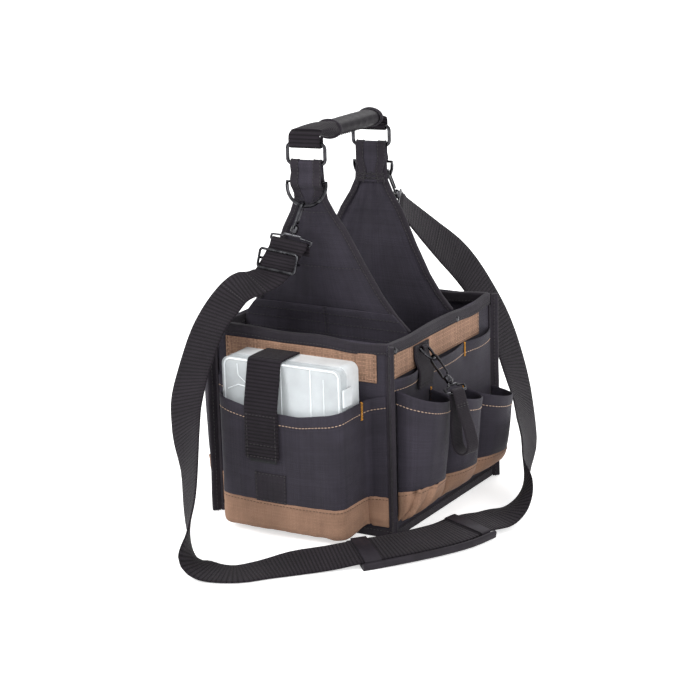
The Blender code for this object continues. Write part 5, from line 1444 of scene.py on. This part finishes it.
def build_tape_strap(s):
    """The sewn tab on the right wall, and the webbing loop that hangs from its hook."""
    sheet = half_width + gap + tape + gap
    wall_x = sheet + webbing / 2
    lip_x = half_width + 2 * gap + cloth + sleeve_bulge * 0.75 + webbing / 2
    fall = tab_top - sleeve_lip
    path = [(wall_x, tab_top), (wall_x, sleeve_lip + fall * 0.45), (lip_x, sleeve_lip - webbing),
            (lip_x - webbing, tab_foot)]
    spots = [Vector((x, tab_centre, z)) for x, z in path]
    wide = Vector((0, 1, 0))
    _, route = strap("tape_tab_webbing", spots, [wide] * 4, [tab_width / 2] * 4, webbing, "fine_webbing",
                     "root", ["tape_tab"], step=0.002, passes=4)
    keeper_half = tab_width / 7
    reach = ring_bar + gap
    bar = Vector((sheet + webbing + reach, tab_centre, tab_top - keeper_half))
    fold = [bar + Vector((-reach - webbing * 0.6, 0, -reach * 2.2))]
    fold += [bar + Vector(((reach + tape / 2) * math.cos(a), 0, (reach + webbing / 2) * math.sin(a)))
             for a in np.linspace(turn / 2, -turn / 4, 12)]
    fold.append(bar + Vector((-reach - webbing * 0.4, 0, -reach - webbing)))
    strap("tape_tab_keeper", fold, [wide] * len(fold), [keeper_half] * len(fold), tape, "fine_webbing",
          "root", ["tape_tab"], step=0.0008, passes=1)
    out = [Vector(p) + Vector((webbing / 2 + 0.0002, 0, 0)) for p in route[0]]
    for side in (-1, 1):
        stitch("thread_dark", [p + wide * side * (tab_width / 2 - 0.003) for p in out])
    for p in (out[1], out[-2], out[-4]):
        stitch("thread_dark", [p - wide * (tab_width / 2 - 0.003), p + wide * (tab_width / 2 - 0.003)])

    eye, heading, bar_way = tape_eye()
    reach = hook_wire + gap + webbing / 2
    down = heading * math.sin(loop_lean) - up * math.cos(loop_lean)
    away = heading * math.cos(loop_lean) + up * math.sin(loop_lean)
    spots = [(reach * math.cos(a), -reach * math.sin(a))
             for a in np.linspace(math.pi / 12, math.pi * 11 / 12, 9)]
    side = [(-reach * 1.05, reach), (-loop_half_depth * 0.45, loop_length * 0.3),
            (-loop_half_depth * 0.85, loop_length * 0.6)]
    spots += side + [(loop_half_depth * math.cos(a),
                      loop_length - loop_half_depth + loop_half_depth * math.sin(a))
                     for a in np.linspace(math.pi, 0, 9)] + [(-a, b) for a, b in reversed(side)]
    points = [eye + away * a + down * b for a, b in spots]
    _, route = strap("tape_loop_webbing", points, [bar_way] * len(points), [loop_width * 0.36] * len(points),
                     webbing, "fine_webbing", "tape_loop", ["tape_loop"], step=0.002,
                     passes=2, closed=True)
    low = eye + down * 0.014
    for shift in (0, 0.0025):
        spot = low + down * shift + away * 0.0062
        stitch("thread_dark", [spot - bar_way * 0.007, spot + bar_way * 0.007], "tape_loop")


def hook_frame(grip, grip_radius, pull, wire_way):
    """The frame of a snap hook: Z runs up it from its barrel to its bend."""
    axis = -pull.normalized()
    lateral = wire_way.cross(axis)
    tilt = math.asin(abs(axis.dot(wire_way.normalized())))
    room = grip_radius / math.cos(tilt) + hook_wire * math.tan(tilt)
    foot = grip - axis * (hook_length - hook_wire - gap - room)
    side = (lateral - axis * lateral.dot(axis)).normalized()
    frame_ = Matrix((side, axis.cross(side), axis)).transposed().to_4x4()
    return Matrix.Translation(foot) @ frame_


def eye_of(place):
    """The middle of the bar of a hook's eye, and the direction from it up the hook."""
    drop = hook_barrel_length + gap + hook_wire * 2 + eye_drop
    return place @ Vector((0, 0, -drop)), (place.to_3x3() @ Vector((0, 0, 1))).normalized()


def tape_eye():
    """The bar of the tape hook's eye, with the heading and bar directions of its loop."""
    keeper_half = tab_width / 7
    sheet = half_width + gap + tape + gap
    bar = Vector((sheet + webbing + ring_bar + gap, tab_centre, tab_top - keeper_half))
    down = Vector((math.sin(tape_lean), 0, -math.cos(tape_lean)))
    drop = (keeper_half + 2 * ring_bar) * 1.7
    heading = Vector((math.cos(tape_heading), -math.sin(tape_heading), 0))
    bar_way = Vector((math.sin(tape_heading), math.cos(tape_heading), 0))
    pull = heading * math.sin(tape_lean) - up * math.cos(tape_lean)
    place = hook_frame(bar + down * (2 * ring_bar + drop), ring_bar, pull, bar_way)
    return eye_of(place)[0], heading, bar_way


def d_grip(bar, lean, facing_side, angle):
    """A point on a D-ring's round part, and the direction of its wire there."""
    out = facing * facing_side
    depth = yoke_thickness / 2 + 3 * gap + d_wire + tape / 2
    centre = bar + out * (depth - lean * d_bar_drop) - up * d_bar_drop
    down = (out * math.sin(d_tilt) - up * math.cos(d_tilt)).normalized()
    grip = centre + across * (d_half_width * math.cos(angle))
    grip += down * (2 * d_wire + d_half_width * math.sin(angle))
    return grip, down * math.cos(angle) - across * math.sin(angle)


# Shoulder strap

HANG_SHARES = 4
STRAP_SHARES = (
    (-0.190, -0.845, 1.410, (0.98, -0.12, -0.06)),
    (-0.255, -0.875, 1.356, (0.98, -0.16, -0.04)),
    (-0.320, -0.905, 1.302, (0.98, -0.20, -0.02)),
    (-0.440, -0.935, 1.245, (0.96, -0.26, -0.06)),
    (-0.680, -0.990, 1.200, (0.90, -0.36, -0.20)),
    (-0.80, -1.125, 1.110, (0.99, -0.12, 0.02)),
    (-0.87, -1.292, 1.005, (0.97, -0.10, 0.20)),
    (-0.91, -1.500, 0.820, (0.96, -0.24, 0.08)),
    (-0.88, -1.667, 0.698, (0.96, -0.28, 0.05)),
    (-0.81, -1.792, 0.586, (0.92, -0.38, 0.10)),
    (-0.64, -2.000, 0.450, (0.80, -0.54, 0.26)),
    (-0.51, -2.208, 0.280, (0.70, -0.64, 0.30)),
    (-0.41, -2.375, 0.158, (0.50, -0.80, 0.30)),
    (-0.33, -2.490, 0.063, (0.22, -0.95, 0.15)),
    (-0.14, -2.500, 0.014, (0.02, -1.00, 0.02)),
    (0.12, -2.420, 0.0062, (0.28, -0.96, 0.00)),
    (0.31, -2.230, 0.0090, (0.58, -0.81, -0.04)),
    (0.53, -2.017, 0.0230, (0.62, -0.77, -0.17)),
    (0.77, -1.800, 0.0300, (0.63, -0.76, -0.18)),
    (0.95, -1.640, 0.0420, (0.64, -0.75, -0.16)),
    (1.21, -1.365, 0.0480, (0.74, -0.66, -0.12)),
    (1.41, -1.070, 0.0480, (0.86, -0.50, -0.12)),
    (1.55, -0.800, 0.0480, (0.94, -0.32, -0.12)),
    (1.62, -0.500, 0.0460, (0.98, -0.20, -0.12)),
    (1.72, -0.290, 0.0360, (0.96, -0.28, -0.08)),
    (1.78, -0.140, 0.0500, (0.82, -0.56, 0.00)),
    (1.80, 0.030, 0.0800, (0.62, -0.76, 0.12)),
    (1.76, 0.260, 0.1260, (0.44, -0.86, 0.20)),
    (1.67, 0.470, 0.1850, (0.32, -0.91, 0.22)),
    (1.54, 0.750, 0.2650, (0.24, -0.93, 0.22)),
    (1.315, 1.150, 0.3500, (0.04, -0.93, 0.34)),
    (1.06, 1.420, 0.5400, (-0.08, -0.99, 0.08)),
    (0.90, 1.430, 0.7600, (-0.06, -0.99, -0.08)),
    (0.75, 1.370, 0.9250, (-0.04, -0.96, -0.26)),
    (0.61, 1.230, 1.0800, (0.00, -0.90, -0.42)),
    (0.50, 0.960, 1.2200, (0.16, -0.88, -0.40)),
    (0.29, 0.720, 1.3900, (0.42, -0.86, -0.28)),
)
STRAP_STEPS = 3
SLIDE_PLACE = 4
PAD_FIRST = 19
PAD_LAST = 23


def smooth_route(points, steps):
    """A smooth curve through the given points, with the given number of steps between neighbours."""
    route = []
    last = len(points) - 1
    for i in range(last):
        a, b = points[max(i - 1, 0)], points[i]
        c, d = points[i + 1], points[min(i + 2, last)]
        for k in range(steps):
            t = k / steps
            route.append(
                ((b * 2) + (c - a) * t + (a * 2 - b * 5 + c * 4 - d) * t**2
                 + (b * 3 - a - c * 3 + d) * t**3) / 2
            )
    route.append(points[-1])
    return route


def strap_end(eye, bar_way, out_side):
    """Stations of the strap's end over a hook's eye bar, from its back leg to its front leg."""
    bar, axis = eye
    wide = bar_way.normalized()
    rise = (axis - wide * axis.dot(wide)).normalized()
    side = wide.cross(rise) * out_side
    reach = hook_wire + 2 * gap + strap_thickness / 2
    stations = [(bar - side * reach - rise * fold_length, wide)]
    for k in range(7):
        angle = math.pi - math.pi * k / 6
        stations.append((bar + side * (reach * math.cos(angle)) + rise * (reach * math.sin(angle)), wide))
    stations.append((bar + side * reach - rise * fold_length / 3, wide))
    return stations


def strap_route(near_end, far_end):
    """Stations of the strap between its two ends, which follow the hooks that they hang from."""
    size = Vector((half_width, half_depth, box_height))
    spots = [Vector((a * size.x, b * size.y, c * size.z)) for a, b, c, _ in STRAP_SHARES]
    wides = [Vector(row[3]).normalized() for row in STRAP_SHARES]
    near_shift = near_end - spots[0]
    far_shift = far_end - spots[-1]
    for k in range(HANG_SHARES):
        fade = 1 - k / HANG_SHARES
        spots[k] += near_shift * fade
        spots[-1 - k] += far_shift * fade
    return list(zip(smooth_route(spots, STRAP_STEPS), smooth_route(wides, STRAP_STEPS)))


def square_sections(stations, skewed):
    """Width and face directions along the route, square to it past the skewed stations."""
    centres = [s[0] for s in stations]
    wides, faces = [], []
    for i, (_, wide) in enumerate(stations):
        before = centres[max(i - 1, 0)]
        after = centres[min(i + 1, len(centres) - 1)]
        along = (after - before).normalized()
        square = min(max((i - skewed) / skewed, 0), 1)
        chosen = (wide - along * wide.dot(along) * square).normalized()
        wides.append(chosen)
        faces.append(along.cross(chosen).normalized())
    return centres, wides, faces


def flatten(centres, wides, faces, index):
    """Lay the stations that pass the slide on one flat, straight run."""
    centre = centres[index]
    along = (centres[index + 1] - centres[index - 1]).normalized()
    faces[index] = along.cross(wides[index]).normalized()
    for way in (-1, 1):
        reach, other = 0, index
        while abs(reach) < slide_half_height + 2 * slide_wire:
            other += way
            reach = (centres[other] - centre).dot(along)
            centres[other] = centre + along * reach
            wides[other], faces[other] = wides[index], faces[index]


NEAR_PULL = (-0.36, -0.02, -0.93)
NEAR_BAR_WAY = (0.985, -0.12, -0.06)
FAR_PULL = (0.08, 0.45, -0.89)
FAR_BAR_WAY = (0.42, -0.86, -0.28)


def build_shoulder_strap(s):
    near_grip, near_way = d_grip(near_bar, near_lean, 1, near_hook_angle)
    near_eye = eye_of(hook_frame(near_grip, d_wire, Vector(NEAR_PULL), near_way))
    far_grip, far_way = d_grip(far_bar, far_lean, -1, far_hook_angle)
    far_eye = eye_of(hook_frame(far_grip, d_wire, Vector(FAR_PULL), far_way))
    near_fold = strap_end(near_eye, Vector(NEAR_BAR_WAY), 1)
    far_fold = list(reversed(strap_end(far_eye, Vector(FAR_BAR_WAY), -1)))
    route = strap_route(near_fold[-1][0], far_fold[0][0])
    stations = near_fold[:-1] + route + far_fold[1:]
    centres, wides, faces_ = square_sections(stations, len(near_fold) + SLIDE_PLACE)
    flatten(centres, wides, faces_, len(near_fold) - 1 + SLIDE_PLACE)
    halves = [strap_width / 2] * len(centres)
    strap("shoulder_webbing", centres, wides, halves, strap_thickness, "strap_webbing", "root",
                    ["shoulder_strap"], step=0.0024, passes=2)
    first = len(near_fold) - 1 + PAD_FIRST * STRAP_STEPS
    last = len(near_fold) - 1 + PAD_LAST * STRAP_STEPS
    build_pad(centres[first:last + 1], wides[first:last + 1], faces_[first:last + 1])
    slide = len(near_fold) - 1 + SLIDE_PLACE
    build_strap_ends(centres, wides, faces_, slide)


def build_strap_ends(centres, wides, faces_, slide):
    """Cross stitches behind the slide and at the sewn end by the far hook."""
    half = strap_width / 2
    for index in (slide + 6, slide + 9, len(centres) - 12, len(centres) - 14):
        centre, wide, face = centres[index], wides[index].normalized(), faces_[index].normalized()
        for side in (-1, 1):
            stitch("thread_dark", [centre + wide * k + face * side * (strap_thickness / 2 + 0.0002)
                                   for k in np.linspace(-half + 0.003, half - 0.003, 8)])


def build_pad(centres, wides, faces_):
    """The moulded shoulder pad: a base under the strap with a thick lip and two bridges."""
    under = -(strap_thickness / 2 + pad_ease)
    half = pad_width / 2
    faces_ = [face if face.z > 0 else -face for face in faces_]
    lip = pad_lip - pad_base
    low, high = under - pad_base, under + lip
    section = [(-half + 0.001, low), (0, low), (half - 0.0012, low), (half, low + 0.0014),
               (half, high - 0.0014), (half - 0.001, high), (half - lip + 0.001, high),
               (half - lip, high - 0.0012), (half - lip * 1.4, under), (0, under),
               (-half + pad_base / 2, under), (-half + 0.0008, under - 0.0008), (-half, low + 0.0014)]
    count = (len(centres) - 1) * 4
    marks = np.linspace(0, len(centres) - 1, count + 1)
    fine = [np.stack([np.interp(marks, np.arange(len(centres)), [v[k] for v in part]) for k in range(3)],
                     axis=1) for part in (centres, wides, faces_)]
    pad = sweep("moulded_pad_base", fine, section, "moulded_rubber")
    dress(pad, "root", ["shoulder_pad"])
    inner = strap_width / 2 + pad_ease
    outer = inner + tape
    sink = under - pad_base / 3
    roof = strap_thickness / 2 + pad_ease
    arch = [(-outer, sink), (-outer, roof), (-inner, roof + tape), (0, roof + tape * 1.2),
            (inner, roof + tape), (outer, roof), (outer, sink), (inner, sink), (inner, roof), (0, roof),
            (-inner, roof), (-inner, sink)]
    for label, low, high in (("left", 1, 7), ("right", count - 7, count - 1)):
        part = [p[low:high] for p in fine]
        made = sweep(f"moulded_pad_{label}_bridge", part, arch, "moulded_rubber")
        dress(made, "root", ["shoulder_pad"])


# Small parts

def build_rivets(s):
    """Domed rivets on the rim tape and the tape tab."""
    outer = half_width + gap + tape
    level = box_height - 0.0085
    places = [((outer, 0.035, level), (1, 0, 0)), ((-outer, 0.035, level), (-1, 0, 0)),
              ((outer, -half_depth + 0.010, level), (1, 0, 0)),
              ((outer + 0.0058, tab_centre + 0.004, tab_foot + 0.014), (1, 0, 0))]
    built = bmesh.new()
    for spot, way in places:
        way = Vector(way)
        side = way.cross(up).normalized()
        corners = [Vector(spot) + side * a * 0.0001 + up * b * 0.0001 for a, b in ((1, 0), (0, 1), (-1, -1))]
        made = built.faces.new([built.verts.new(c) for c in corners])
        made.normal_update()
        if made.normal.dot(way) < 0:
            made.normal_flip()
    mesh = bpy.data.meshes.new("rivet_spots")
    built.to_mesh(mesh)
    built.free()
    holder = bpy.data.objects.new("rivet_spots", mesh)
    bpy.context.scene.collection.objects.link(holder)
    group = rivets_group()
    mod = holder.modifiers.new("Rivets", "NODES")
    mod.node_group = group
    set_inputs(mod, group, {"Radius": s.rivet_radius, "Material": finishes["dark_metal"]})
    dress(baked(holder, "rim_rivets"), "root", ())


def build_lid_highlights():
    """White beads on the lid of the parts box, painted highlights for the bright edges and divider lines of
    the clear plastic: rim, dividers, shelf and slanted divider.
    """
    face = -half_depth - gap - cloth - parts_depth
    low = (front_face_right - front_face_left - parts_width) / 2
    foot = front_foot + cloth + gap
    top = foot + parts_height
    width, inset = parts_width, 0.0022
    rim, round_by = [], parts_corner - inset / 2
    for x, z, start in ((width - inset - round_by, -inset - round_by, 0),
                        (inset + round_by, -inset - round_by, 1)):
        rim += [(x + round_by * math.cos(a), z + round_by * math.sin(a))
                for a in np.linspace(start * turn / 4, (start + 1) * turn / 4, 8)]
    rim = [(width - inset, -0.075)] + rim + [(inset, -0.075)]
    ribs = [("rim", rim, 0.0011)]
    for number, x in enumerate((0.25, 0.5, 0.75)):
        ribs.append((f"divider_{number}", [(width * x, -0.003), (width * x, -0.075)], 0.0008))
    ribs.append(("shelf", [(0.006, -0.037), (0.020, -0.031), (0.036, -0.033)], 0.0007))
    ribs.append(("slanted", [(0.019, -0.007), (0.020, -0.020), (0.036, -0.033)], 0.0007))
    ribs.append(("inner", [(width * 0.86, -0.012), (width * 0.86, -0.070)], 0.0006))
    # Each bead is a painted highlight in milky plastic, laid on the lid's front face.
    for name, line, half in ribs:
        points = [Vector((low + x, face - 0.0001, top + z)) for x, z in line]
        wide = Vector((0, 1, 0))
        route = finer_route(points, [wide] * len(points), [half] * len(points), 0.0015, 0)
        bead = np.array([(half * math.cos(a) * 0.55, half * math.sin(a))
                         for a in np.linspace(0, turn, 8, endpoint=False)])
        dress(sweep(f"lid_{name}", route[:3], bead, "milky_plastic"), "root", ())


def finish_frame():
    """Give the hard CAD nodes that stay in view their own materials."""
    metal = [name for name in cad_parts
             if name.endswith(("_ring", "_snap_hook", "_hook_eye", "_hook_gate", "slide_buckle"))]
    milky = ("parts_box_tray", "parts_box_latch")
    for names, finish in ((metal, "dark_metal"), (milky, "milky_plastic"),
                          (("parts_box_lid",), "clear_plastic")):
        for name in names:
            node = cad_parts[name]
            for place in node.material_slots:
                place.material = finishes[finish]


# Stage

def seen_rays(tree):
    """One for the rays that see the backdrop itself, and nought for those that light the object."""
    rays = tree.nodes.new("ShaderNodeLightPath")
    seen = math_node(tree, "MAXIMUM", rays.outputs["Is Camera Ray"], rays.outputs["Is Glossy Ray"])
    return math_node(tree, "MAXIMUM", seen, rays.outputs["Is Transmission Ray"])


def build_stage():
    """A pale floor, soft level light and the photograph's camera."""
    scene = bpy.context.scene
    mesh = bpy.data.meshes.new("floor")
    reach = 4.0
    mesh.from_pydata([(-reach, -reach, 0), (reach, -reach, 0), (reach, reach, 0), (-reach, reach, 0)], [],
                     [(0, 1, 2, 3)])
    floor = bpy.data.objects.new("floor", mesh)
    floor.location.z = -0.0008
    scene.collection.objects.link(floor)
    pale = bpy.data.materials.new("pale_floor")
    pale.use_nodes = True
    tree = pale.node_tree
    shader = tree.nodes["Principled BSDF"]
    shader.inputs["Base Color"].default_value = (0.86, 0.86, 0.86, 1)
    shader.inputs["Roughness"].default_value = 0.9
    light = tree.nodes.new("ShaderNodeEmission")
    light.inputs["Color"].default_value = (1, 1, 1, 1)
    both = tree.nodes.new("ShaderNodeAddShader")
    join(tree, (math_node(tree, "MULTIPLY", seen_rays(tree), 0.60), light.inputs["Strength"]),
         (shader.outputs[0], both.inputs[0]), (light.outputs[0], both.inputs[1]),
         (both.outputs[0], tree.nodes["Material Output"].inputs["Surface"]))
    floor.data.materials.append(pale)

    world = bpy.data.worlds.new("soft_room")
    scene.world = world
    world.use_nodes = True
    tree = world.node_tree
    plain = tree.nodes["Background"]
    plain.inputs["Color"].default_value = (1, 1, 1, 1)
    plain.inputs["Strength"].default_value = 0.76
    white = tree.nodes.new("ShaderNodeBackground")
    white.inputs["Color"].default_value = (1, 1, 1, 1)
    white.inputs["Strength"].default_value = 1.0
    mixer = tree.nodes.new("ShaderNodeMixShader")
    join(tree, (seen_rays(tree), mixer.inputs[0]), (plain.outputs[0], mixer.inputs[1]),
         (white.outputs[0], mixer.inputs[2]), (mixer.outputs[0],
                                               tree.nodes["World Output"].inputs["Surface"]))

    for name, place, size, power in (("key", (-1.2, -1.9, 1.9), 1.4, 47.0),
                                     ("fill", (2.2, -1.2, 1.3), 1.8, 30.0),
                                     ("back", (0.2, 1.9, 2.2), 1.6, 36.0)):
        lamp = bpy.data.lights.new(name, "AREA")
        lamp.size = size
        lamp.energy = power
        made = bpy.data.objects.new(name, lamp)
        made.location = place
        made.rotation_euler = (Vector((0, 0, 0.2)) - Vector(place)).to_track_quat("-Z", "Y").to_euler()
        scene.collection.objects.link(made)

    lens = bpy.data.cameras.new("photo_camera")
    lens.sensor_width = sensor_width
    lens.lens = sensor_width * photo_focal / photo_width
    lens.clip_end = 50
    camera = bpy.data.objects.new("photo_camera", lens)
    yaw, pitch, roll = (math.radians(angle) for angle in camera_angles)
    forward = Vector((-math.sin(yaw) * math.cos(pitch), math.cos(yaw) * math.cos(pitch), -math.sin(pitch)))
    right = Vector((math.cos(yaw), math.sin(yaw), 0))
    over = right.cross(forward)
    turned_right = right * math.cos(roll) - over * math.sin(roll)
    turned_up = right * math.sin(roll) + over * math.cos(roll)
    camera.matrix_world = Matrix.Translation(camera_place) @ Matrix(
        (turned_right, turned_up, -forward)).transposed().to_4x4()
    scene.collection.objects.link(camera)
    scene.camera = camera
    scene.view_settings.view_transform = "Standard"


# Operators and panel

def run_group(*builders):
    s = sizes()
    for builder in builders:
        builder(s)
    return {"FINISHED"}


class CARRIER_OT_box(bpy.types.Operator):
    """Walls, tapes and tan bands"""
    bl_idname = "carrier.box"
    bl_label = "Box"

    def execute(self, context):
        return run_group(build_box)


class CARRIER_OT_pockets(bpy.types.Operator):
    """Front, side and back pockets"""
    bl_idname = "carrier.pockets"
    bl_label = "Pockets"

    def execute(self, context):
        return run_group(build_front_pocket, build_side_pockets, build_back_pocket)


class CARRIER_OT_yokes(bpy.types.Operator):
    """Both yokes with their tapes and neck sleeves"""
    bl_idname = "carrier.yokes"
    bl_label = "Yokes"

    def execute(self, context):
        return run_group(build_yokes)


class CARRIER_OT_handle(bpy.types.Operator):
    """Handle webbing and padded grip"""
    bl_idname = "carrier.handle"
    bl_label = "Handle"

    def execute(self, context):
        return run_group(build_handle_strap, build_grip)


class CARRIER_OT_straps(bpy.types.Operator):
    """Parts box strap, tape strap and shoulder strap"""
    bl_idname = "carrier.straps"
    bl_label = "Straps"

    def execute(self, context):
        return run_group(build_box_strap, build_tape_strap, build_shoulder_strap)


class CARRIER_OT_details(bpy.types.Operator):
    """Rivets, threads and the hard parts' materials"""
    bl_idname = "carrier.details"
    bl_label = "Details"

    def execute(self, context):
        finish_frame()
        build_lid_highlights()
        build_rivets(sizes())
        draw_threads()
        return {"FINISHED"}


class CARRIER_OT_stage(bpy.types.Operator):
    """Floor, light and camera"""
    bl_idname = "carrier.stage"
    bl_label = "Stage"

    def execute(self, context):
        build_stage()
        return {"FINISHED"}


class CARRIER_PT_panel(bpy.types.Panel):
    """Sizes, colours and the steps in order"""
    bl_idname = "CARRIER_PT_panel"
    bl_label = "Tool carrier"
    bl_space_type = "VIEW_3D"
    bl_region_type = "UI"
    bl_category = "Carrier"

    def draw(self, context):
        for group in (context.scene.carrier_sizes, context.scene.carrier_colours):
            for name in group.__annotations__:
                self.layout.prop(group, name)
        for step in STEPS:
            self.layout.operator(step.bl_idname)


STEPS = (CARRIER_OT_box, CARRIER_OT_pockets, CARRIER_OT_yokes, CARRIER_OT_handle, CARRIER_OT_straps,
         CARRIER_OT_details, CARRIER_OT_stage)
CLASSES = (CarrierSizes, CarrierColours, *STEPS, CARRIER_PT_panel)


def register():
    for cls in CLASSES:
        bpy.utils.register_class(cls)
    bpy.types.Scene.carrier_sizes = PointerProperty(type=CarrierSizes)
    bpy.types.Scene.carrier_colours = PointerProperty(type=CarrierColours)


def unregister():
    del bpy.types.Scene.carrier_colours
    del bpy.types.Scene.carrier_sizes
    for cls in reversed(CLASSES):
        bpy.utils.unregister_class(cls)


def main():
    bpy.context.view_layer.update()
    register()
    build_finishes()
    bpy.ops.carrier.box()
    bpy.ops.carrier.pockets()
    bpy.ops.carrier.yokes()
    bpy.ops.carrier.handle()
    bpy.ops.carrier.straps()
    bpy.ops.carrier.details()
    bpy.ops.carrier.stage()


if __name__ == "__main__":
    main()
